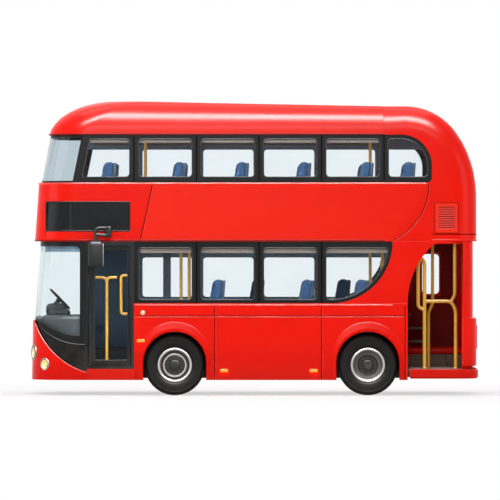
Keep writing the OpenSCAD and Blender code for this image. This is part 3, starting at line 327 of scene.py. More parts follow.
wheelSteel = finish("wheelSteel", (0.36, 0.355, 0.35), (0.36, 0.46), 400, 0.06, wornAndHighlight=(0.6, 0.6, 0.6),
                    wearAndHighlight=0.5, dustAndShade=0.1, metal=0.75, spec=0.3, vary=0.1)
dishGrey = finish("dishGrey", (0.042, 0.036, 0.034), (0.4, 0.55), 400, 0.1, wornAndHighlight=(0.12, 0.11, 0.1), dustAndShade=0.15,
                  spec=0.2, vary=0.12)
hubBlack = finish("hubBlack", (0.022, 0.020, 0.019), (0.35, 0.5), 350, 0.12, wornAndHighlight=(0.1, 0.095, 0.09),
                  wearAndHighlight=0.6, spec=0.25)
bareSteel = finish("bareSteel", (0.30, 0.30, 0.31), (0.3, 0.5), 300, 0.1, wornAndHighlight=(0.6, 0.6, 0.6), metal=0.9)
goldRail = finish("goldRail", (0.60, 0.27, 0.012), (0.22, 0.34), 300, 0.04, wornAndHighlight=(0.85, 0.5, 0.08), wearAndHighlight=0.4,
                  spec=0.3, coat=0.12, coatRough=0.08, vary=0.06)
sideLining = finish("sideLining", (0.030, 0.048, 0.074), (0.45, 0.6), 500, 0.2, wornAndHighlight=(0.1, 0.13, 0.17),
                    spec=0.25)
creamPanel = finish("creamPanel", (0.50, 0.41, 0.30), (0.4, 0.55), 350, 0.1, spec=0.3)
# darker red for the platform's inner wall: a painted shade
platformShadeRed = finish("platformShadeRed", (0.19, 0.0030, 0.0010), (0.45, 0.6), 400, 0.1, spec=0.1)
seatShell = finish("seatShell", (0.010, 0.022, 0.045), (0.35, 0.5), 500, 0.15, wornAndHighlight=(0.05, 0.07, 0.1),
                   spec=0.2)
tanPanel = finish("tanPanel", (0.165, 0.122, 0.095), (0.4, 0.55), 350, 0.1, spec=0.3)
headerBlue = finish("headerBlue", (0.145, 0.215, 0.275), (0.4, 0.55), 500, 0.15, wornAndHighlight=(0.12, 0.16, 0.2),
                    spec=0.25)
floorVinyl = finish("floorVinyl", (0.16, 0.115, 0.085), (0.45, 0.65), 260, 0.3, vary=0.35, varyScale=160.0,
                    spec=0.25)
dashGrey = finish("dashGrey", (0.030, 0.033, 0.037), (0.4, 0.55), 600, 0.25, wornAndHighlight=(0.1, 0.1, 0.1), spec=0.25,
                  vary=0.12)
stairBrown = finish("stairBrown", (0.15, 0.098, 0.058), (0.45, 0.6), 300, 0.2, wornAndHighlight=(0.25, 0.19, 0.13),
                    vary=0.2, spec=0.25)
navyPanel = finish("navyPanel", (0.014, 0.038, 0.066), (0.25, 0.4), 420, 0.1, wornAndHighlight=(0.1, 0.13, 0.17),
                   spec=0.3, vary=0.15)
displayGlass = finish("displayGlass", (0.014, 0.015, 0.016), (0.2, 0.3), 120, 0.02, spec=0.08)
# grey for the line on the black mask: a painted highlight
paintedHighlightGrey = finish("paintedHighlightGrey", (0.15, 0.146, 0.142), (0.4, 0.5), 300, 0.05, spec=0.2)
mirrorSilver = finish("mirrorSilver", (0.8, 0.82, 0.84), (0.03, 0.06), 40, 0.01, metal=1.0)
bowlCream = finish("bowlCream", (0.78, 0.62, 0.36), (0.25, 0.35), 90, 0.15, spec=0.4, vary=0.15,
                   varyScale=14.0)
# the rosy tint of the bezel steel is a painted reflection of the red nose around it
bezelSteel = finish("bezelSteel", (0.24, 0.17, 0.15), (0.3, 0.42), 300, 0.08, wornAndHighlight=(0.6, 0.58, 0.56),
                    metal=0.8)


def clothFinish(name, colour, threadsPerMetre):
    material, tree, shader = newMaterial(name)
    weave = useGroup(tree, clothWeave, Threads=threadsPerMetre)
    deep = tuple(c * 0.55 for c in colour) + (1,)
    grained = useGroup(tree, fineGrain, Scale=200.0, Low=0.75, High=0.9)
    bumpNormal(tree, shader, weave["Height"], 0.4, 0.002)
    feedAll(tree, shader, Base_Color=mixColour(tree, weave["Shade"], deep, colour + (1,)),
            Roughness=grained["Roughness"], Sheen_Weight=0.1, Specular_IOR_Level=0.08)
    return material


seatCloth = clothFinish("seatCloth", (0.0115, 0.045, 0.112), 180.0)


def glassFinish(name, colour, clear=1.0, rough=0.02, glow=0.0, ior=1.45, upper=None):
    material, tree, shader = newMaterial(name)
    smears = spread(tree, noiseValue(tree, 1.6, 4), 0.35, 0.75)
    tint = mixColour(tree, smears, colour + (1,), tuple(c * 0.96 for c in colour) + (1,))
    if upper:  # darker above the lower deck: a painted shade for the dimmer upper screen
        place = addNode(tree, "ShaderNodeSeparateXYZ")
        feed(tree, place.inputs[0], objectCoords(tree))
        tint = mixColour(tree, spread(tree, place.outputs["Z"], bus["deck"], bus["deck"] + 0.6), tint,
                         upper + (1,))
    grained = useGroup(tree, fineGrain, Scale=60.0, Low=rough, High=rough * 2)
    feedAll(tree, shader, Base_Color=tint, Roughness=grained["Roughness"], Transmission_Weight=clear, IOR=ior)
    if glow:
        feedAll(tree, shader, Emission_Color=tint, Emission_Strength=glow)
    through = addNode(tree, "ShaderNodeBsdfTransparent")
    feedAll(tree, through, Color=colour + (1,))
    shadow = addNode(tree, "ShaderNodeLightPath").outputs["Is Shadow Ray"]  # light passes through the pane
    blendShaders(tree, shadow, shader.outputs[0], through.outputs[0])
    return material


clearGlass = glassFinish("clearGlass", (0.905, 0.945, 0.965), ior=1.2)
screenGlass = glassFinish("screenGlass", (0.88, 0.935, 0.955), ior=1.2, upper=(0.70, 0.765, 0.80))
# the door glass is darker: a painted shade for the dim entrance behind it
doorGlass = glassFinish("doorGlass", (0.78, 0.82, 0.86), ior=1.15)
lensGlass = glassFinish("lensGlass", (0.97, 0.93, 0.82), rough=0.06, ior=1.3)
amberLens = glassFinish("amberLens", (1.0, 0.36, 0.03), clear=0.25, rough=0.08, glow=0.25)
redLens = glassFinish("redLens", (0.75, 0.02, 0.015), clear=0.25, rough=0.08, glow=0.1)

# finish of each node that stays as it is
finishOf = {
    redPaint: ["lower_side_near", "lower_side_off", "quarter_panels", "mid_sides", "roof", "rear_dome",
               "rear_wall", "platform_edge", "front_bumper", "front_band", "door_sill"],
    blackBand: ["front_mask", "windscreen_frame", "upper_front_frame", "upper_bands", "lower_bands",
                "door_frame", "door_leaf"],
    blackPlastic: ["cab", "steering_wheel"],
    chassisBlack: ["underframe", "wheel_boxes", "front_axle", "rear_axle"],
    displayGlass: ["destination_displays"],
    clearGlass: ["side_glass", "rear_glass"],
    screenGlass: ["windscreens"],
    doorGlass: ["door_glass"],
    sideLining: ["linings", "upper_floor"],
    floorVinyl: ["lower_floor"],
    stairBrown: ["staircase"],
    bareSteel: ["engine_block", "seat_frames", "seat_legs", "knuckle_left", "knuckle_right"],
    redLens: ["tail_lamps"],
}
edgeOf = {"roof": 0.006, "rear_dome": 0.012, "platform_edge": 0.03, "rear_wall": 0.02, "front_bumper": 0.008}
edgeSet = {"usual": 0.004, "segments": 2, "weld": 0.0002, "angle": 32, "clampUnder": 0.015}


def softenEdges(shape, width):
    shape.data.shade_smooth()
    weld = shape.modifiers.new("weld", "WELD")
    weld.merge_threshold = edgeSet["weld"]
    bevel = shape.modifiers.new("edges", "BEVEL")
    bevel.width = width
    bevel.segments = edgeSet["segments"]
    bevel.limit_method = "ANGLE"
    bevel.use_clamp_overlap = width < edgeSet["clampUnder"]
    bevel.angle_limit = math.radians(edgeSet["angle"])
    bevel.harden_normals = True
    normals = shape.modifiers.new("normals", "WEIGHTED_NORMAL")
    normals.keep_sharp = True


for material, names in finishOf.items():
    for nodeName in names:
        shape = cadNodes[nodeName]
        shape.data.materials.clear()
        shape.data.materials.append(material)
        softenEdges(shape, edgeOf.get(nodeName, edgeSet["usual"]))
print("finishes laid on", sum(len(names) for names in finishOf.values()), "nodes")


# tools for new pieces
def addPiece(name, data, body, materials):
    piece = bpy.data.objects.new(name, data)
    bpy.context.collection.objects.link(piece)
    for material in materials:
        data.materials.append(material)
    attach(piece, body)
    return piece


def toMesh(bm, name):
    mesh = bpy.data.meshes.new(name)
    bm.to_mesh(mesh)
    bm.free()
    return mesh


def meshPiece(name, bm, slot, *materials, body="bus", sharp=0, node=None):  # a bmesh becomes a smooth piece
    bmesh.ops.remove_doubles(bm, verts=bm.verts, dist=0.00002)
    bmesh.ops.recalc_face_normals(bm, faces=bm.faces)
    for face in bm.faces:
        face.smooth = True
    piece = addPiece(name, toMesh(bm, name), body, materials)
    if sharp:
        piece.data.set_sharp_from_angle(angle=math.radians(sharp))
    if node:
        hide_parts(node)
    return piece


def profileOf(kind, *spots):  # radius and offset of each spot, with the finish they share
    return [(radius, offset, kind) for radius, offset in spots]


def turnProfile(bm, profile, steps, place, dip=None):  # profile: radius, offset along Y, finish
    rings = []
    for i in range(steps):
        turn = 2 * math.pi * i / steps
        rings.append([])
        for radius, offset, _ in profile:
            away = radius - (dip(i, radius, offset) if dip else 0)
            spot = Vector((away * math.sin(turn), offset, away * math.cos(turn)))
            rings[-1].append(bm.verts.new(place @ spot))
    for near, far in zip(rings, rings[1:] + rings[:1]):
        for j in range(len(profile) - 1):
            face = bm.faces.new((near[j], near[j + 1], far[j + 1], far[j]))
            face.material_index = profile[j][2]


def skin(bm, rows, ring=True, caps=True):  # faces between rows of corners, and over both ends
    rows = [[bm.verts.new(corner) for corner in row] for row in rows]
    count = len(rows[0])
    for near, far in zip(rows, rows[1:]):
        for k in range(count if ring else count - 1):
            bm.faces.new((near[k], near[(k + 1) % count], far[(k + 1) % count], far[k]))
    if caps:
        bm.faces.new(rows[0])
        bm.faces.new(rows[-1])


def mirrored(bm):  # the same again on the off side
    twin = bmesh.ops.duplicate(bm, geom=bm.verts[:] + bm.edges[:] + bm.faces[:])["geom"]
    for vert in [g for g in twin if isinstance(g, bmesh.types.BMVert)]:
        vert.co.y = -vert.co.y


def bothSides(points):  # a path on the kerb side and its twin on the off side
    return [points, [(x, -y, z) for x, y, z in points]]


def lineAt(y, *spots):  # a path at one distance from the middle, through stations and heights
    return [(station(d), y, z) for d, z in spots]


def roundedPath(points, bend, steps=6):  # corners of a path become smooth bends
    path = [Vector(points[0])]
    for before, corner, after in zip(points, points[1:], points[2:]):
        before, corner, after = Vector(before), Vector(corner), Vector(after)
        reach = min(bend, (corner - before).length * 0.48, (after - corner).length * 0.48)
        start = corner + (before - corner).normalized() * reach
        end = corner + (after - corner).normalized() * reach
        for k in range(steps + 1):
            t = k / steps
            path.append(start * (1 - t) ** 2 + corner * 2 * t * (1 - t) + end * t * t)
    return path + [Vector(points[-1])]


def rod(name, paths, radius, material, bend=0.0, body="bus", closed=False, sides=3):
    data = bpy.data.curves.new(name, "CURVE")
    data.dimensions = "3D"
    data.bevel_depth = radius
    data.bevel_resolution = sides
    data.use_fill_caps = True
    for points in paths:
        path = [Vector(p) for p in points] if closed else roundedPath(points, bend)
        spline = data.splines.new("POLY")
        spline.points.add(len(path) - 1)
        for point, spot in zip(spline.points, path):
            point.co = (*spot, 1)
        spline.use_cyclic_u = closed
    return addPiece(name, data, body, [material])


def roundEdges(bm, edges, soft, segments):
    bmesh.ops.bevel(bm, geom=edges, offset=soft, segments=segments, profile=0.5, affect="EDGES",
                    clamp_overlap=True)


def slab(bm, box, soft):  # a block with rounded edges; box: two stations, two sides, two heights
    (d0, d1), (y0, y1), (z0, z1) = box
    low, high = Vector((station(d1), y0, z0)), Vector((station(d0), y1, z1))
    made = bmesh.ops.create_cube(bm, size=1.0)["verts"]
    for vert in made:
        vert.co = vert.co * (high - low) + (high + low) / 2
    roundEdges(bm, list({e for v in made for e in v.link_edges}), soft, 4)


def blockPiece(name, boxes, slot, material, soft, twin=False, node=None):  # twin: on the off side too
    bm = bmesh.new()
    for box in boxes:
        slab(bm, box, soft)
    if twin:
        mirrored(bm)
    return meshPiece(name, bm, slot, material, node=node)


# wheels: tyres with grooves and lugs, dished rims with bright rings, a hub and nuts
wheelSet = {"lugs": 34, "lugDepth": 0.009, "lugRadius": 0.43, "lugSpan": (0.060, 0.118), "rimSteps": 96,
            "nuts": 10, "nutCircle": 0.112, "nutRadius": 0.0125, "valveIn": 0.034, "valveCircle": 0.208,
            "frontFace": 0.096, "rearFace": 0.059}
halfTyre = [(0.262, 0.104), (0.266, 0.116), (0.278, 0.1245), (0.300, 0.1305), (0.330, 0.1345),
            (0.360, 0.1352), (0.388, 0.1342), (0.398, 0.1350), (0.403, 0.1368), (0.409, 0.1362),
            (0.413, 0.1322), (0.430, 0.1260), (0.443, 0.1160), (0.4515, 0.103), (0.4545, 0.092),
            (0.4545, 0.066), (0.4450, 0.064), (0.4450, 0.054), (0.4545, 0.052), (0.4545, 0.024),
            (0.4450, 0.022), (0.4450, 0.012), (0.4545, 0.010)]
tyreLoop = profileOf(0, *halfTyre, *[(r, -y) for r, y in reversed(halfTyre)], halfTyre[0])
ring, dish, hub = 0, 1, 2  # finishes of a rim
rimLip = profileOf(ring, (0.221, 0.098), (0.224, 0.110), (0.230, 0.1185), (0.239, 0.1225), (0.249, 0.1225),
                   (0.257, 0.119), (0.2615, 0.111))
hubFace = [(0.0, 0.017), (0.050, 0.017), (0.066, 0.013), (0.078, 0.005), (0.081, 0.010), (0.086, 0.010),
           (0.090, 0.002), (0.128, 0.000), (0.131, 0.006), (0.138, 0.006), (0.143, 0.000), (0.149, -0.006)]
frontRim = profileOf(hub, *[(r, y + wheelSet["frontFace"]) for r, y in hubFace])
frontRim += profileOf(dish, (0.150, 0.078))
frontRim += profileOf(ring, (0.151, 0.079), (0.154, 0.087), (0.161, 0.091), (0.171, 0.090), (0.178, 0.085))
frontRim += profileOf(dish, (0.182, 0.072), (0.192, 0.061), (0.209, 0.061))
frontRim += profileOf(ring, (0.218, 0.074)) + rimLip
frontRim += profileOf(dish, (0.2615, -0.120), (0.245, -0.120), (0.245, 0.040), (0.120, 0.030),
                      (0.120, -0.038), (0.0, -0.038))
rearRim = profileOf(hub, *[(r, y + wheelSet["rearFace"]) for r, y in hubFace])
rearRim += profileOf(dish, (0.150, -0.006))
rearRim += profileOf(ring, (0.151, -0.005), (0.154, 0.002), (0.161, 0.006), (0.171, 0.008), (0.180, 0.012),
                     (0.190, 0.020), (0.200, 0.032), (0.209, 0.048), (0.217, 0.070)) + rimLip
rearRim += profileOf(dish, (0.2615, -0.434), (0.245, -0.434), (0.245, -0.058), (0.0, -0.058))


def lugDip(i, radius, offset):  # gaps between the lugs on both shoulders
    low, high = wheelSet["lugSpan"]
    onShoulder = radius > wheelSet["lugRadius"] and low < abs(offset) < high
    return wheelSet["lugDepth"] if onShoulder and i % 4 == 0 else 0


def addNuts(bm, place, face):  # hexagonal nuts on the hub, each with a stud, and a valve
    size = wheelSet["nutRadius"]
    nut = profileOf(hub, (0.0, 0.020), (size * 0.45, 0.019), (size * 0.5, 0.014), (size * 0.85, 0.014),
                    (size, 0.011), (size, -0.002), (0.0, -0.002))
    for k in range(wheelSet["nuts"]):
        turn = 2 * math.pi * k / wheelSet["nuts"]
        spot = Vector((math.sin(turn), 0, math.cos(turn))) * wheelSet["nutCircle"] + Vector((0, face, 0))
        turnProfile(bm, nut, 6, place @ Matrix.Translation(spot))
    valve = profileOf(hub, (0.0, 0.030), (0.005, 0.029), (0.006, 0.010), (0.013, 0.006), (0.015, -0.01),
                      (0.0, -0.01))
    spot = (0, face - wheelSet["valveIn"], wheelSet["valveCircle"])
    turnProfile(bm, valve, 12, place @ Matrix.Translation(spot))


wheelPlaces = {"front": (bus["frontAxle"], frontRim, wheelSet["frontFace"], [0.0]),
               "rear": (bus["rearAxle"], rearRim, wheelSet["rearFace"],
                        [0.0, bus["innerWheelY"] - bus["wheelY"]])}
for axle, (d, rimProfile, nutFace, tyreOffsets) in wheelPlaces.items():
    for side, sign in (("left", 1), ("right", -1)):
        body = f"wheel_{axle}_{side}"
        centre = Matrix.Translation((station(d), sign * bus["wheelY"], bus["tyreRadius"]))
        centre = centre @ Matrix.Scale(sign, 4, (0, 1, 0))
        bm = bmesh.new()
        for offset in tyreOffsets:
            turnProfile(bm, tyreLoop, 4 * wheelSet["lugs"], centre @ Matrix.Translation((0, offset, 0)),
                        lugDip)
        meshPiece(f"{body}_tyre", bm, "tyre", tyreRubber, body=body, sharp=40, node=f"tyre_{axle}_{side}")
        bm = bmesh.new()
        turnProfile(bm, rimProfile, wheelSet["rimSteps"], centre)
        addNuts(bm, centre, nutFace)
        meshPiece(f"{body}_rim", bm, "wheel_metal", wheelSteel, dishGrey, hubBlack, body=body, sharp=40,
                  node=f"rim_{axle}_{side}")
print("wheels dressed")

# rails of the saloons and the platform
railSet = {"thin": 0.024, "stout": 0.027, "bend": 0.09, "poleY": 0.24, "clear": 0.002,
           "insets": (0.13, 0.18, 0.56), "upperPoles": {1.677: 4.386, 5.105: 4.318},
           "lowerPoles": (2.22, 2.344, 5.105, 5.29)}
ceiling = bus["deck"] - bus["deckThick"] - railSet["clear"]
lowFloor = bus["floor"] + railSet["clear"]
doorSide, platformSide, aisleSide = (bus["half"] - inset for inset in railSet["insets"])
tail = bus["tail"]
thinPaths = [lineAt(railSet["poleY"], (d, bus["deck"] + railSet["clear"]), (d, top))
             for d, top in railSet["upperPoles"].items()]
thinPaths += [lineAt(railSet["poleY"], (d, lowFloor), (d, ceiling)) for d in railSet["lowerPoles"]]
thinPaths += [
    lineAt(platformSide, (tail - 0.335, ceiling), (tail - 0.335, 1.51), (tail - 0.388, 1.42)),
    lineAt(aisleSide, (tail - 0.658, ceiling), (tail - 0.658, 1.365), (tail - 0.718, 1.26),
           (tail - 0.718, lowFloor))]
stoutPaths = [
    lineAt(doorSide, (tail - 0.792, lowFloor), (tail - 0.792, 2.0), (tail - 0.840, 2.075),
           (tail - 0.888, 2.0), (tail - 0.888, 1.33), (tail - 0.792, 1.29)),
    lineAt(platformSide, (tail - 0.320, lowFloor), (tail - 0.320, 1.29), (tail - 0.388, 1.42))
    + lineAt(doorSide, (tail - 0.792, 1.42))]
thinPoles = rod("thinPoles", thinPaths, railSet["thin"], goldRail, railSet["bend"])
stoutRails = rod("stoutRails", stoutPaths, railSet["stout"], goldRail, railSet["bend"])
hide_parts("grab_poles")
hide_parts("grab_poles")
cup = profileOf(0, (0.0, 0.024), (0.026, 0.024), (0.030, 0.020), (0.036, 0.008), (0.050, 0.005),
                (0.052, 0.001), (0.0, 0.001))
upright = Matrix.Rotation(math.pi / 2, 4, "X")
bm = bmesh.new()
for path in thinPaths + stoutPaths:
    for end in (path[0], path[-1]):
        if abs(end[2] - lowFloor) < 0.01 or abs(end[2] - bus["deck"]) < 0.01:
            turnProfile(bm, cup, 24, Matrix.Translation(end) @ upright)
        elif abs(end[2] - ceiling) < 0.01:
            turnProfile(bm, cup, 24, Matrix.Translation(end) @ upright.inverted())
meshPiece("poleCups", bm, "gold_rail", goldRail)

# rails of the front door: a tee with a curved arm each way, and a grip
doorRail = {"radius": 0.021, "bend": 0.085, "inset": 0.062, "standOff": 0.045, "front": 0.935, "post": 1.11,
            "arm": 1.26, "tee": 1.78, "armFoot": 1.50, "foot": 0.492, "grip": (1.325, 1.435),
            "gripZ": (1.23, 1.81)}
leafFace = bus["half"] - doorRail["inset"]
railY = leafFace - doorRail["standOff"]
front, post, teeZ, foot = (doorRail[key] for key in ("front", "post", "tee", "foot"))
tee = lineAt(leafFace, (front, teeZ)) + lineAt(railY, (front, teeZ), (post, teeZ), (post, foot))
tee += lineAt(leafFace, (post, foot))
teeArm = lineAt(railY, (doorRail["arm"], teeZ), (post, teeZ), (post, doorRail["armFoot"]))
(gripD, gripEnd), (gripLow, gripHigh) = doorRail["grip"], doorRail["gripZ"]
grip = lineAt(leafFace, (gripEnd, gripHigh))
grip += lineAt(railY, (gripEnd, gripHigh), (gripD, gripHigh), (gripD, gripLow), (gripEnd, gripLow))
grip += lineAt(leafFace, (gripEnd, gripLow))
doorRails = rod("doorRails", [tee, teeArm, grip], doorRail["radius"], goldRail, doorRail["bend"],
                body="front_door")
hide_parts("door_rails")
print("rails bent")

# seats: one cushion and one back are puffed up as cloth and set on every place
seatSet = {"width": 0.41, "length": 0.46, "thick": 0.09, "top": 0.45, "backTop": 1.1, "shrink": 0.008,
           "pair": 0.215, "fromMiddle": 0.69, "fill": 0.8, "firstBay": 2.266, "bay": 0.943, "lowFloor": 0.64}
puffSet = {"voxel": 0.015, "pressure": 4.0, "frames": 16, "cap": 0.012, "hold": 0.012, "channel": 0.006,
           "thread": 0.012}
cushionSet = {"soft": 0.032, "over": 0.001, "under": 0.01, "channels": (0.15, 0.25, 0.35)}
backSet = {"foot": (0.03, 0.235), "top": (-0.018, 0.125), "lift": 0.006, "over": 0.016, "soft": 0.058,
           "channels": (0.62, 0.78, 0.94)}
shellSet = {"foot": (-0.004, 0.044), "top": (-0.050, 0.0), "drop": 0.006, "soft": 0.02}
deck, lowDeck = bus["deck"], seatSet["lowFloor"]
seatRows = [(deck, side, seatSet["firstBay"] + seatSet["bay"] * i) for side in (1, -1) for i in range(4)]
seatRows += [(deck, 1, 1.2), (deck, -1, 1.2), (deck, 1, 5.73)]
lowRows = [(lowDeck, side, d) for side, d in ((1, 2.85), (1, 4.2), (1, 5.025), (-1, 3.45), (-1, 4.77))]


def wedge(foot, footZ, top, topZ, soft, segments=5):  # a leaning block with soft edges
    half = seatSet["width"] / 2 - seatSet["shrink"]
    corners = [(x, y, z) for ends, z in ((foot, footZ), (top, topZ)) for y in (-half, half) for x in ends]
    bm = bmesh.new()
    cube = bmesh.ops.create_cube(bm, size=1.0)["verts"]
    for vert, corner in zip(sorted(cube, key=lambda v: (v.co.z, v.co.y, v.co.x)), corners):
        vert.co = corner
    roundEdges(bm, bm.edges[:], soft, segments)
    return bm


def puffed(name, bm, restZ):  # remeshed, puffed as cloth and held below restZ
    pad = bpy.data.objects.new(name, toMesh(bm, name))
    bpy.context.collection.objects.link(pad)
    remesh = pad.modifiers.new("voxels", "REMESH")
    remesh.mode = "VOXEL"
    remesh.voxel_size = puffSet["voxel"]
    remesh.use_smooth_shade = True
    graph = bpy.context.evaluated_depsgraph_get()
    pad.data = bpy.data.meshes.new_from_object(pad.evaluated_get(graph))
    pad.modifiers.clear()
    before = [v.co.copy() for v in pad.data.vertices]
    held = pad.vertex_groups.new(name="held")
    held.add([v.index for v in pad.data.vertices if v.co.z < restZ], 1.0, "REPLACE")
    cloth = pad.modifiers.new("puff", "CLOTH")
    cloth.settings.vertex_group_mass = "held"
    cloth.settings.use_pressure = True
    cloth.settings.uniform_pressure_force = puffSet["pressure"]
    cloth.settings.effector_weights.gravity = 0
    cloth.collision_settings.use_collision = False
    scene = bpy.context.scene
    for step in range(1, puffSet["frames"] + 1):
        scene.frame_set(step)
    graph = bpy.context.evaluated_depsgraph_get()
    after = [v.co.copy() for v in pad.evaluated_get(graph).data.vertices]
    pad.modifiers.clear()
    scene.frame_set(1)
    for vert, old, new in zip(pad.data.vertices, before, after):
        move = new - old
        if move.length > puffSet["cap"]:
            move *= puffSet["cap"] / move.length
        vert.co = old + move
    mesh = pad.data
    bpy.data.objects.remove(pad)
    return mesh


def sewChannels(mesh, along, places, facing):  # sewn channels pulled into the face that looks this way
    for vert in mesh.vertices:
        lift = vert.normal.dot(facing)
        if lift > 0.25:
            pull = sum(math.exp(-((vert.co[along] - spot) / puffSet["thread"]) ** 2) for spot in places)
            vert.co -= Vector(facing) * pull * puffSet["channel"] * min(1, lift)


cushionLow = seatSet["top"] - seatSet["thick"]
cushionEnds = (seatSet["shrink"], seatSet["length"] - seatSet["shrink"])
cushion = wedge(cushionEnds, cushionLow + cushionSet["over"], cushionEnds,
                seatSet["top"] - cushionSet["under"], cushionSet["soft"])
cushionMesh = puffed("cushion", cushion, cushionLow + puffSet["hold"])
sewChannels(cushionMesh, 0, cushionSet["channels"], (0, 0, 1))
backLow = seatSet["top"] + backSet["lift"]
back = wedge(backSet["foot"], backLow, backSet["top"], seatSet["backTop"] + backSet["over"], backSet["soft"])
backMesh = puffed("seatBack", back, backLow + puffSet["hold"])
sewChannels(backMesh, 2, backSet["channels"], (1, 0, 0))
shell = wedge(shellSet["foot"], backLow, shellSet["top"], seatSet["backTop"] - shellSet["drop"],
              shellSet["soft"], 4)
shellMesh = toMesh(shell, "shell")


def addCopy(bm, mesh, place):
    have = len(bm.verts)
    bm.from_mesh(mesh)
    bm.verts.ensure_lookup_table()
    bmesh.ops.transform(bm, matrix=place, verts=bm.verts[have:])


def onPlaces(mesh, rows):  # two copies side by side in every row
    bm = bmesh.new()
    for floor, side, d in rows:
        for shift in (-seatSet["pair"], seatSet["pair"]):
            addCopy(bm, mesh, Matrix.Translation((station(d), side * seatSet["fromMiddle"] + shift, floor)))
    return bm


for name, mesh, rows, node in (("upperCushions", cushionMesh, seatRows, "seat_cushions"),
                               ("lowerCushions", cushionMesh, lowRows, "seat_cushions"),
                               ("upperBacks", backMesh, seatRows, "seat_backs"),
                               ("lowerBacks", backMesh, lowRows, "seat_backs")):
    pads = meshPiece(name, onPlaces(mesh, rows), "seat_cloth", seatCloth, node=node)
meshPiece("seatShells", onPlaces(shellMesh, seatRows + lowRows), "lining", seatShell)

driver = {"d": 0.84, "y": -0.56, "foot": 0.71, "cushion": (0.82, 1.1, 1.2), "back": (0.62, 1.1, 0.76),
          "backX": 0.024, "cushionZ": 0.35, "backZ": 0.46, "pedestal": ((0.09, 0.33), 0.18), "hoopX": 0.03,
          "hoopY": (0.13, 0.12), "hoopZ": (0.90, 1.12), "hoopRadius": 0.022}
driverX, driverY, driverFoot = station(driver["d"]), driver["y"], driver["foot"]
bm = bmesh.new()
for mesh, scale, x, z, low in ((cushionMesh, driver["cushion"], driverX, driver["cushionZ"], cushionLow),
                               (backMesh, driver["back"], driverX + driver["backX"], driver["backZ"],
                                backLow)):
    addCopy(bm, mesh, Matrix.Translation((x, driverY, driverFoot + z)) @ Matrix.Diagonal((*scale, 1))
            @ Matrix.Translation((0, 0, -low)))
driverPads = meshPiece("driverPads", bm, "seat_cloth", seatCloth, node="driver_seat")
(legFront, legBack), legHalf = driver["pedestal"]
legBox = ((driver["d"] - legBack, driver["d"] - legFront), (driverY - legHalf, driverY + legHalf),
          (driverFoot + 0.001, driverFoot + driver["cushionZ"]))
blockPiece("driverPedestal", [legBox], "black_frame", blackPlastic, 0.03)
(footY, topY), (footZ, topZ) = driver["hoopY"], driver["hoopZ"]
hoop = [(driverX + driver["hoopX"], driverY + y, driverFoot + z)
        for y, z in ((-footY, footZ), (-topY, topZ), (topY, topZ), (footY, footZ))]
rod("headHoop", [hoop], driver["hoopRadius"], blackPlastic, 0.08)
print("seats padded")

# mirrors: curved arms and rounded heads with silvered glass facing back
mirrorSet = {"y": 1.43, "wallY": 1.38, "armRadius": 0.026, "bend": 0.085, "armZ": 2.525,
             "stayZ": (2.415, 2.425), "head": ((0.83, 1.065), (1.352, 1.508), (1.92, 2.335)),
             "glass": ((1.059, 1.066), (1.377, 1.483), (1.96, 2.295)),
             "bracket": ((1.075, 1.185), (1.2605, 1.405), (2.385, 2.555))}
armY, wallY, armZ, stayZ = (mirrorSet[key] for key in ("y", "wallY", "armZ", "stayZ"))
mirrorArm = lineAt(wallY, (1.13, armZ)) + lineAt(armY, (1.09, armZ), (0.945, armZ), (0.945, 2.3))
mirrorStay = lineAt(wallY, (1.13, stayZ[0])) + lineAt(armY, (1.09, stayZ[0]), (0.95, stayZ[1]))
rod("mirrorArms", bothSides(mirrorArm) + bothSides(mirrorStay), mirrorSet["armRadius"],
    blackPlastic, mirrorSet["bend"])
blockPiece("mirrorHeads", [mirrorSet["head"]], "black_trim", blackPlastic, 0.07, twin=True, node="mirrors")
blockPiece("mirrorBrackets", [mirrorSet["bracket"]], "black_trim", blackPlastic, 0.03, twin=True)
blockPiece("mirrorGlasses", [mirrorSet["glass"]], "glass", mirrorSilver, 0.004, twin=True)

# headlamps: bezel, bowl with a bulb, and a domed lens
lampSet = {"lamps": ((72, 0.64, 0.115), (43, 0.47, 0.085)), "noseRadius": 0.64, "back": 0.608}
bowls = bmesh.new()
lenses = bmesh.new()
for angle, z, radius in lampSet["lamps"]:
    bowl = profileOf(0, (0.0, -0.006), (0.012, -0.008), (0.014, -0.028), (radius * 0.4, -0.030),
                     (radius * 0.68, -0.016))
    bowl += profileOf(1, (radius - 0.013, 0.001), (radius - 0.010, 0.010), (radius - 0.002, 0.013),
                      (radius + 0.006, 0.009), (radius + 0.009, 0.002), (radius + 0.008, -0.012))
    bowl += profileOf(0, (radius - 0.004, -0.036), (0.0, -0.036))
    lens = profileOf(0, (0.0, 0.018), (radius * 0.4, 0.017), (radius * 0.65, 0.013), (radius - 0.011, 0.006),
                     (radius - 0.013, 0.001), (radius * 0.6, 0.008), (0.0, 0.012))
    for sign in (1, -1):
        turn = math.radians(angle)
        outward = Vector((math.sin(turn), sign * math.cos(turn), 0))
        corner = Vector((station(lampSet["back"]), sign * (bus["half"] - lampSet["noseRadius"]), z))
        place = Matrix.Translation(corner + outward * lampSet["noseRadius"])
        place = place @ outward.to_track_quat("Y", "Z").to_matrix().to_4x4()
        turnProfile(bowls, bowl, 48, place)
        turnProfile(lenses, lens, 48, place)
meshPiece("lampBowls", bowls, "lamp_clear", bowlCream, bezelSteel, node="headlamps")
meshPiece("lampLenses", lenses, "lamp_clear", lensGlass)
print("mirrors and lamps set")

# rubber seals run round the rim of every side pane and of the door pane
sealSet = {"radius": 0.011, "doorRadius": 0.009, "least": 1.0}


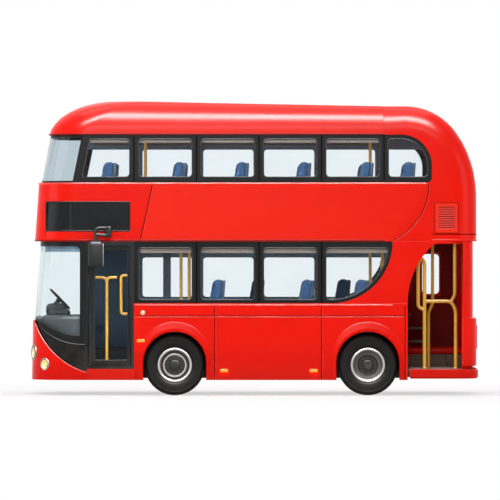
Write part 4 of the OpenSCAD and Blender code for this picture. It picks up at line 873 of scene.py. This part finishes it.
def paneRims(nodeName, facing):
    bm = bmesh.new()
    bm.from_mesh(cadNodes[nodeName].data)
    bmesh.ops.remove_doubles(bm, verts=bm.verts, dist=0.0003)
    bm.normal_update()
    outer = {f for f in bm.faces if f.normal.dot(facing) > 0.9}
    edges = {e for e in bm.edges if len([f for f in e.link_faces if f in outer]) == 1}
    rims = []
    while edges:
        edge = edges.pop()
        start, here = edge.verts
        loop = [start.co.copy(), here.co.copy()]
        while here is not start:
            onward = next((e for e in here.link_edges if e in edges), None)
            if onward is None:
                break
            edges.discard(onward)
            here = onward.other_vert(here)
            loop.append(here.co.copy())
        length = sum((b - a).length for a, b in zip(loop, loop[1:]))
        if here is start and length > sealSet["least"]:
            rims.append(loop[:-1])
    bm.free()
    return rims


sideRims = {sign: paneRims("side_glass", Vector((0, sign, 0))) for sign in (1, -1)}
rod("paneSeals", sideRims[1] + sideRims[-1], sealSet["radius"], rubberSeal, closed=True,
    sides=2)
doorRims = paneRims("door_glass", Vector((0, 1, 0)))
rod("doorSeal", doorRims, sealSet["doorRadius"], rubberSeal, body="front_door", closed=True,
    sides=2)
leafLow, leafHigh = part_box("door_leaf")
bead = sealSet["doorRadius"]
leafX, leafZ = ((leafLow[k] + bead, leafHigh[k] - bead) for k in (0, 2))
leafEdge = [(leafX[i], leafHigh[1], leafZ[k]) for i, k in ((0, 0), (1, 0), (1, 1), (0, 1))]
rod("leafBead", [leafEdge], bead * 0.7, rubberSeal, body="front_door", closed=True, sides=2)
print("seals run round", len(sideRims[1] + sideRims[-1] + doorRims), "panes")

# dark seams between the bays of both bands, found from the panes themselves
bandSet = {"seam": 0.007, "deckSplit": 2.8, "low": (1.375, 2.335), "high": (3.215, 3.925)}


def paneBoxes(upper, sign):  # stations and heights of the panes of one deck and side, front to rear
    boxes = []
    for rim in sideRims[sign]:
        ds, ys, zs = zip(*[(station(x), y, z) for x, y, z in rim])
        if (min(zs) > bandSet["deckSplit"]) == upper and ys[0] * sign > 0:
            boxes.append(((min(ds), max(ds)), (min(zs), max(zs))))
    return sorted(boxes)


baySeams = []
for sign in (1, -1):
    for upper, (z0, z1) in ((True, bandSet["high"]), (False, bandSet["low"])):
        boxes = paneBoxes(upper, sign)
        for (ahead, _), (behind, _) in zip(boxes, boxes[1:]):
            d = (ahead[1] + behind[0]) / 2
            baySeams.append(lineAt(sign * (bus["half"] - bus["bandInset"]), (d, z0), (d, z1)))
rod("baySeams", baySeams, bandSet["seam"], seamBlack, sides=2)

# window surrounds on the off side: a header, a sill and posts with a rounded opening
surround = {"y": (-1.1835, -1.1790), "over": 0.03, "side": 0.022, "sill": {True: 0.004, False: 0.03},
            "header": {True: 0.122, False: 0.150}, "corner": 0.045, "post": (1.925, 2.045),
            "fullPane": (0.75, 0.95)}


def openPlate(bm, box, opening, corner, y0, y1):  # a plate with a rounded opening
    (d0, d1), (z0, z1) = box
    (a0, a1), (b0, b1) = opening
    inner = []
    for centreD, centreZ, start in ((a1 - corner, b1 - corner, 0), (a0 + corner, b1 - corner, 1),
                                    (a0 + corner, b0 + corner, 2), (a1 - corner, b0 + corner, 3)):
        for k in range(7):
            t = math.pi / 2 * (start + k / 6)
            inner.append((centreD + corner * math.cos(t), centreZ + corner * math.sin(t)))
    reach = corner + 1e-6
    outer = [(d1 if d > a1 - reach else d0 if d < a0 + reach else d,
              z1 if z > b1 - reach else z0 if z < b0 + reach else z) for d, z in inner]
    loops = ((inner, y0), (outer, y0), (outer, y1), (inner, y1), (inner, y0))
    skin(bm, [lineAt(y, *loop) for loop, y in loops], caps=False)


plateY, over, side = surround["y"], surround["over"], surround["side"]
bm = bmesh.new()
for upper in (True, False):
    for (d0, d1), (z0, z1) in paneBoxes(upper, -1):
        sill, header = z0 + surround["sill"][upper], z1 - surround["header"][upper]
        if surround["fullPane"][0] < d1 - d0 < surround["fullPane"][1]:
            openPlate(bm, ((d0 - over, d1 + over), (z0 - over, z1 + over)),
                      ((d0 + side, d1 - side), (sill, header)), surround["corner"], *plateY)
        else:
            slab(bm, ((d0, d1), plateY, (header, z1 + over)), 0.001)
slab(bm, (surround["post"], plateY, paneBoxes(False, -1)[0][1]), 0.001)
meshPiece("windowSurrounds", bm, "lining", headerBlue, sharp=40)

# beads and seams where the body panels meet, some of them led round the nose and the tail
beadSet = {"lip": 0.016, "edge": 0.011, "seam": 0.0065, "roll": 0.018, "noseRadius": 0.64, "tailRadius": 0.39}
sideY = bus["half"]
noseRadius, tailRadius = beadSet["noseRadius"], beadSet["tailRadius"]


def cornerY(over, radius):  # half width where a rounded corner has run on by over
    return sideY if over < 0 else sideY - radius + math.sqrt(max(0, radius ** 2 - over ** 2))


def noseY(d, faceD):  # half width of the nose at station d
    return cornerY(faceD + noseRadius - d, noseRadius)


def tailY(d):  # half width of the rear dome at station d
    return cornerY(d - (bus["tail"] - tailRadius), tailRadius)


def roundEnd(startD, centreD, way, radius, y, z, steps):  # a level line round one end
    half = [(station(startD), y, z)]
    for k in range(steps + 1):
        t = math.pi / 2 * k / steps
        half.append((station(centreD + way * radius * math.sin(t)), y - radius + radius * math.cos(t), z))
    return half + [(x, -y, z) for x, y, z in reversed(half)]


def roundNose(faceD, endD, z):
    return roundEnd(endD, faceD + noseRadius, -1, noseRadius, sideY, z, 14)


def roundTail(startD, z, proud=0.0):
    return roundEnd(startD, bus["tail"] - tailRadius, 1, tailRadius + proud, sideY + proud, z, 10)


def sideLine(*spots):  # a line on both sides through stations and heights
    return bothSides(lineAt(sideY, *spots))


# lips in the lighter red are painted highlight lines
rod("deckLips", [roundNose(0.066, 5.93, 3.196)], beadSet["lip"], paintedHighlightRed)
# the eave and mid-band edge beads in the darker red are painted shade lines
rod("eaveGutter", [roundNose(0.222, 5.30, 3.944), roundNose(0.008, 5.30, 2.340)], beadSet["edge"],
    paintedShadeRed)
rod("domeRoll", [roundTail(6.02, 2.345, -0.010)], beadSet["roll"], redPaint, sides=4)
rod("panelLips", sideLine((1.54, 1.362), (5.42, 1.362)), beadSet["edge"], paintedHighlightRed)

seamSet = {"uprights": (2.742, 4.353, 5.615), "uprightZ": (0.25, 1.35), "waist": 1.197,
           "waistEnds": (1.54, 5.60), "slant": ((1.80, 3.18), (1.622, 2.36)), "arcD": 5.023, "arcZ": 3.185,
           "arcRadius": 0.945, "lit": 0.011}
arc = [(seamSet["arcD"] + seamSet["arcRadius"] * math.cos(math.radians(4 * k)),
        seamSet["arcZ"] - seamSet["arcRadius"] * math.sin(math.radians(4 * k))) for k in range(17)]


def levelAndUpright(shift):  # the waist seam and the uprights, moved down and back by shift
    lines = sideLine(*[(d, seamSet["waist"] - shift) for d in seamSet["waistEnds"]])
    for d in seamSet["uprights"]:
        lines += sideLine(*[(d + shift, z) for z in seamSet["uprightZ"]])
    return lines


seams = sideLine(*seamSet["slant"]) + sideLine(*arc) + levelAndUpright(0) + [roundTail(6.02, 2.432)]
rod("panelSeams", seams, beadSet["seam"], seamAndShadeRed, sides=2)
# beads just beside the seams in the lighter red: painted highlight lines
lit = sideLine(*[(d + 0.010, z - 0.004) for d, z in arc])
lit += sideLine(*[(d + seamSet["lit"], z) for d, z in seamSet["slant"]]) + levelAndUpright(seamSet["lit"])
rod("seamLights", lit, beadSet["seam"] * 0.8, paintedHighlightRed, sides=2)


def noseLine(faceD, inset, spots, lean=0.0):  # a line on the nose corners through stations and heights
    return bothSides([(station(d), noseY(d, faceD + (z - 1) * lean) - inset, z) for d, z in spots])


def edgeRuns(low, high, steps):  # the four edges of a panel, each cut into short steps
    corners = [low, (high[0], low[1]), high, (low[0], high[1])]
    return [[(d0 + (d1 - d0) * k / steps, z0 + (z1 - z0) * k / steps) for k in range(steps + 1)]
            for (d0, z0), (d1, z1) in zip(corners, corners[1:] + corners[:1])]


maskSet = {"d": 1.134, "z": 1.475, "radius": 1.178, "start": -0.015, "step": 0.0455, "top": 1.125,
           "seam": 0.005, "browLow": 0.770, "browRise": 0.33, "lean": math.tan(math.radians(4))}
lipSpots = []
for k in range(19):
    d = maskSet["start"] + maskSet["step"] * k
    lipSpots.append((d, maskSet["z"] - math.sqrt(maskSet["radius"] ** 2 - (d - maskSet["d"]) ** 2)))
lipSpots = [(d, z) for d, z in lipSpots if z < maskSet["top"]]
# the bead on the bumper's top edge in the lighter red: a painted highlight line
rod("bumperLip", noseLine(-0.04, 0.002, lipSpots), beadSet["edge"] * 0.75, paintedHighlightRed)
browSpots = [(0.03 + 0.047 * k, maskSet["browLow"] + maskSet["browRise"] * (1 - k / 16) ** 2.4)
             for k in range(17)]
# a grey seam bead on the black mask: a painted highlight line
rod("maskSeam", noseLine(0.0, 0.010, browSpots, maskSet["lean"]), maskSet["seam"], paintedHighlightGrey,
    sides=2)
displaySet = {"low": (0.19, 2.483), "high": (1.455, 2.917), "face": 0.02, "rim": 0.012, "split": 0.567,
              "splitZ": (2.49, 2.91)}
displayLines = []
for run in edgeRuns(displaySet["low"], displaySet["high"], 12):
    displayLines += noseLine(displaySet["face"], 0.001, run)
displayLines += noseLine(displaySet["face"], 0.004, [(displaySet["split"], z) for z in displaySet["splitZ"]])
rod("displayRims", displayLines, displaySet["rim"], blackBand)

# vents on the rear corners: a proud frame, a dark backing behind the louvres as painted shade for the recess,
# and louvres
ventSet = {"d": (6.063, 6.410), "z": (2.455, 2.900), "rim": 0.055, "slats": 12, "slatShare": 0.55,
           "proud": 0.012, "well": 0.004, "seam": 0.007}


def bandOnTail(bm, d0, d1, z0, z1, inner, outer, lean=0.0, steps=8):  # a strip bent round the rear corner
    rows = []
    for k in range(steps + 1):
        d = d0 + (d1 - d0) * k / steps
        corners = [(outer, z0), (outer - lean, z1), (inner - lean, z1), (inner, z0)]
        rows.append([(station(d), tailY(d) + out, z) for out, z in corners])
    skin(bm, rows)


(ventD0, ventD1), (ventZ0, ventZ1) = ventSet["d"], ventSet["z"]
rim, proud, well = ventSet["rim"], ventSet["proud"], ventSet["well"]
slatD0, slatD1, slatZ0, slatZ1 = ventD0 + rim, ventD1 - rim, ventZ0 + rim, ventZ1 - rim
bm = bmesh.new()
for strip in ((ventD0, ventD1, ventZ0, slatZ0), (ventD0, ventD1, slatZ1, ventZ1),
              (ventD0, slatD0, slatZ0, slatZ1), (slatD1, ventD1, slatZ0, slatZ1)):
    bandOnTail(bm, *strip, 0.001, proud)
slatStep = (slatZ1 - slatZ0) / ventSet["slats"]
for k in range(ventSet["slats"]):
    z = slatZ0 + slatStep * k
    bandOnTail(bm, slatD0, slatD1, z, z + slatStep * ventSet["slatShare"], 0.002, proud, 0.005)
mirrored(bm)
meshPiece("ventLouvres", bm, "red_paint", redPaint, sharp=35, node="vent_grilles")
# a dark backing behind the louvres: painted shade for their recess
bm = bmesh.new()
bandOnTail(bm, slatD0 - well, slatD1 + well, slatZ0 - well, slatZ1 + well, 0.0005, 0.003)
mirrored(bm)
meshPiece("ventShadeBacking", bm, "red_paint", seamAndShadeRed)
ventLines = []
for run in edgeRuns((ventD0, ventZ0), (ventD1, ventZ1), 8):
    ventLines += bothSides([(station(d), tailY(d) + 0.001, z) for d, z in run])
rod("ventSeams", ventLines, ventSet["seam"], seamAndShadeRed, sides=2)

# cab: a cowl under the windscreen, a blind above it, a hump for the dials and a partition by the driver
cowl = {"face": 0.095, "inset": 0.10, "back": 0.74, "low": 0.84, "lip": 0.2, "top": 1.20, "roll": 0.06,
        "taper": 0.03, "offSide": 0.12, "step": 0.50, "stepY": (-0.05, 0.15)}


def cowlRing(shrink, z):
    turns = [math.pi / 2 * k / 12 for k in range(13)]
    radius = noseRadius - cowl["inset"] - shrink
    front = cowl["face"] + shrink
    side = sideY - cowl["inset"] - shrink
    offY = cowl["offSide"] - side
    rim = [(cowl["back"] - shrink, side)]
    rim += [(front + radius * (1 - math.sin(t)), side - radius * (1 - math.cos(t))) for t in turns]
    rim += [(front + radius * (1 - math.cos(t)), offY + radius * (1 - math.sin(t))) for t in turns]
    rim += [(cowl["step"] - shrink, offY), (cowl["step"] - shrink, cowl["stepY"][0]),
            (cowl["back"] - shrink, cowl["stepY"][1])]
    return [(station(d), y, z) for d, y in rim]


cowlRings = [cowlRing(cowl["taper"], cowl["low"]), cowlRing(0.0, cowl["low"] + cowl["lip"])]
for k in range(6):
    t = math.pi / 2 * k / 5
    drop, shrink = (cowl["roll"] * (1 - turn(t)) for turn in (math.sin, math.cos))
    cowlRings.append(cowlRing(shrink, cowl["top"] - drop))
bm = bmesh.new()
skin(bm, cowlRings)
meshPiece("dashCowl", bm, "black_frame", dashGrey, sharp=40)
blind = {"face": 0.15, "end": 0.88, "doorEnd": 0.72, "low": 2.165, "high": 2.30, "thick": 0.006,
         "narrow": 0.925}
section = [(0, blind["low"]), (0, blind["high"]), (blind["thick"], blind["high"]),
           (blind["thick"], blind["low"])]
blindRows = []
for x, y, _ in roundNose(blind["face"], blind["end"], blind["low"]):
    if y < 0 or x > station(blind["doorEnd"]):  # clear of the open door
        blindRows.append([(x - out, y * blind["narrow"], z) for out, z in section])
bm = bmesh.new()
skin(bm, blindRows)
meshPiece("screenBlind", bm, "lining", headerBlue, sharp=40)
humpBoxes = [((0.13, 0.46), (-0.90, -0.24), (1.18, 1.375)), ((0.20, 0.52), (-0.22, 0.10), (1.17, 1.29))]
blockPiece("dialHump", humpBoxes, "black_frame", dashGrey, 0.075)
blockPiece("cabPartition", [((0.87, 1.50), (-0.19, -0.16), (0.70, 2.34))], "lining", navyPanel, 0.012)

# flares: a slanted roll swept over each wheel arch, and dark walls behind the wheels
flareSet = {"inner": (0.475, 0.490, 0.475), "outer": (0.545, 0.570, 0.535), "foot": 0.234,
            "section": ((0.0, 0.001), (0.03, 0.007), (0.08, 0.012), (0.25, 0.0175), (0.45, 0.025),
                        (0.60, 0.0315), (0.68, 0.035), (0.74, 0.036), (0.80, 0.033), (0.87, 0.024),
                        (0.95, 0.008), (0.985, -0.020), (1.02, -0.020), (1.0, 0.0005))}


def archLine(radius, centre, leg, steps=40):  # feet, legs and crown of an arch as offsets from the axle
    line = [(-leg, flareSet["foot"]), (-leg, (flareSet["foot"] + centre) / 2)]
    line += [(-radius * math.cos(math.pi * k / steps), centre + radius * math.sin(math.pi * k / steps))
             for k in range(steps + 1)]
    line[2] = (-leg, centre)
    line[-1] = (leg, centre)
    return line + [(leg, (flareSet["foot"] + centre) / 2), (leg, flareSet["foot"])]


bm = bmesh.new()
for axleD in (bus["frontAxle"], bus["rearAxle"]):
    rows = []
    for (innerX, innerZ), (outerX, outerZ) in zip(archLine(*flareSet["inner"]), archLine(*flareSet["outer"])):
        rows.append([(station(axleD) + outerX + (innerX - outerX) * share, sideY + out,
                      outerZ + (innerZ - outerZ) * share) for share, out in flareSet["section"]])
    skin(bm, rows)
mirrored(bm)
meshPiece("archRolls", bm, "red_paint", redPaint, sharp=60, node="arch_flares")
wellSet = {"walls": {"frontAxle": 0.615, "rearAxle": 0.585}, "half": 0.52, "thick": 0.012, "z": (0.25, 0.42)}
wellHalf, wellThick = wellSet["half"], wellSet["thick"]
wellWalls = [((bus[axle] - wellHalf, bus[axle] + wellHalf), (y, y + wellThick), wellSet["z"])
             for axle, y in wellSet["walls"].items()]
blockPiece("wellWalls", wellWalls, "black_frame", chassisBlack, 0.004, twin=True)

# side markers with domed lenses, and a round clear lamp above the front arch
markerSet = {"spots": ((1.625, 0.825), (2.880, 0.375), (4.230, 0.375)), "half": (0.060, 0.024),
             "proud": 0.026, "soft": 0.0115, "lamp": (1.655, 1.248)}
halfD, halfZ = markerSet["half"]
markers = [((d - halfD, d + halfD), (sideY + 0.001, sideY + markerSet["proud"]), (z - halfZ, z + halfZ))
           for d, z in markerSet["spots"]]
blockPiece("sideMarkers", markers, "lamp_amber", amberLens, markerSet["soft"], twin=True, node="side_markers")
bm = bmesh.new()
dome = profileOf(0, (0.0, 0.030), (0.014, 0.028), (0.026, 0.021), (0.034, 0.010), (0.037, 0.001),
                 (0.0, 0.001))
lampD, lampZ = markerSet["lamp"]
turnProfile(bm, dome, 32, Matrix.Translation((station(lampD), sideY, lampZ)))
mirrored(bm)
meshPiece("sideLamps", bm, "lamp_clear", bowlCream)

# coves under both ceilings: profile and the stations they run between
coveSet = {"lower": (((1.178, 2.150), (1.165, 2.235), (1.06, 2.345), (1.03, 2.356)), (1.62, 5.40)),
           "upper": (((1.178, 3.815), (1.165, 3.875), (1.10, 3.925), (1.07, 3.930)), (0.86, 5.26))}
bm = bmesh.new()
for profile, run in coveSet.values():
    topY, topZ = profile[-1]
    closed = list(profile) + [(topY, topZ + 0.003), (1.179, topZ + 0.003)]
    for sign in (1, -1):
        skin(bm, [[(station(d), sign * y, z) for y, z in closed] for d in run])
meshPiece("ceilingCoves", bm, "lining", tanPanel, sharp=50)

# platform: a pane and a dark red lining on the off-side wall, a painted shade for the dim platform, a red
# landing edge and ribbed treads
paneSet = {"d": (5.915, 6.225), "y": (-1.2085, -1.2025), "z": (1.49, 2.155)}
blockPiece("platformPane", [tuple(paneSet.values())], "glass", clearGlass, 0.002)
wall = {"from": 5.66, "y": -1.2, "radius": 0.33, "low": 0.70, "high": 2.47, "turn": 80, "steps": 8}
wallPath = [(d, wall["y"]) for d in (wall["from"], *paneSet["d"])]
for k in range(wall["steps"] + 1):
    t = math.radians(wall["turn"] * k / wall["steps"])
    wallPath.append((bus["tail"] - tailRadius + wall["radius"] * math.sin(t),
                     wall["y"] + wall["radius"] * (1 - math.cos(t))))
bm = bmesh.new()
for run, low, high in ((wallPath, wall["low"], paneSet["z"][0]), (wallPath[:2], *paneSet["z"]),
                       (wallPath[2:], *paneSet["z"]), (wallPath, paneSet["z"][1], wall["high"])):
    skin(bm, [[(station(d), y, z) for d, y in run] for z in (low, high)], ring=False, caps=False)
meshPiece("platformShadeLining", bm, "lining", platformShadeRed)
landing = {"floor": 0.403, "ledge": ((6.286, 6.56), (-0.95, -0.345), (0.403, 0.602)),
           "nosing": ((5.684, 6.56), (-0.371, -0.311), (0.598, 0.684))}
blockPiece("rearLedge", [landing["ledge"]], "stair", stairBrown, 0.008)
blockPiece("landingNosing", [landing["nosing"]], "red_paint", redPaint, 0.028)
ribSet = {"count": 9, "first": -0.25, "step": 0.16, "ends": (5.70, 6.42), "radius": 0.006}
ribs = [lineAt(ribSet["first"] + ribSet["step"] * k, *[(d, landing["floor"]) for d in ribSet["ends"]])
        for k in range(ribSet["count"])]
rod("platformRibs", ribs, ribSet["radius"], stairBrown, sides=2)

# blank number plates
plateSet = {"half": 0.26, "behind": 0.010, "proud": 0.004, "soft": 0.003,
            "frontPlate": (station(cadBox[1][0]), (0.465, 0.575)), "rearPlate": (bus["tail"], (0.74, 0.85))}
for name in ("frontPlate", "rearPlate"):
    d, heights = plateSet[name]
    box = ((d - plateSet["proud"], d + plateSet["behind"]), (-plateSet["half"], plateSet["half"]), heights)
    blockPiece(name, [box], "black_trim", creamPanel, plateSet["soft"])
print("trim fitted")

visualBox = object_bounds()
boxes = {"cad": [list(corner) for corner in cadBox], "visual": [list(corner) for corner in visualBox]}
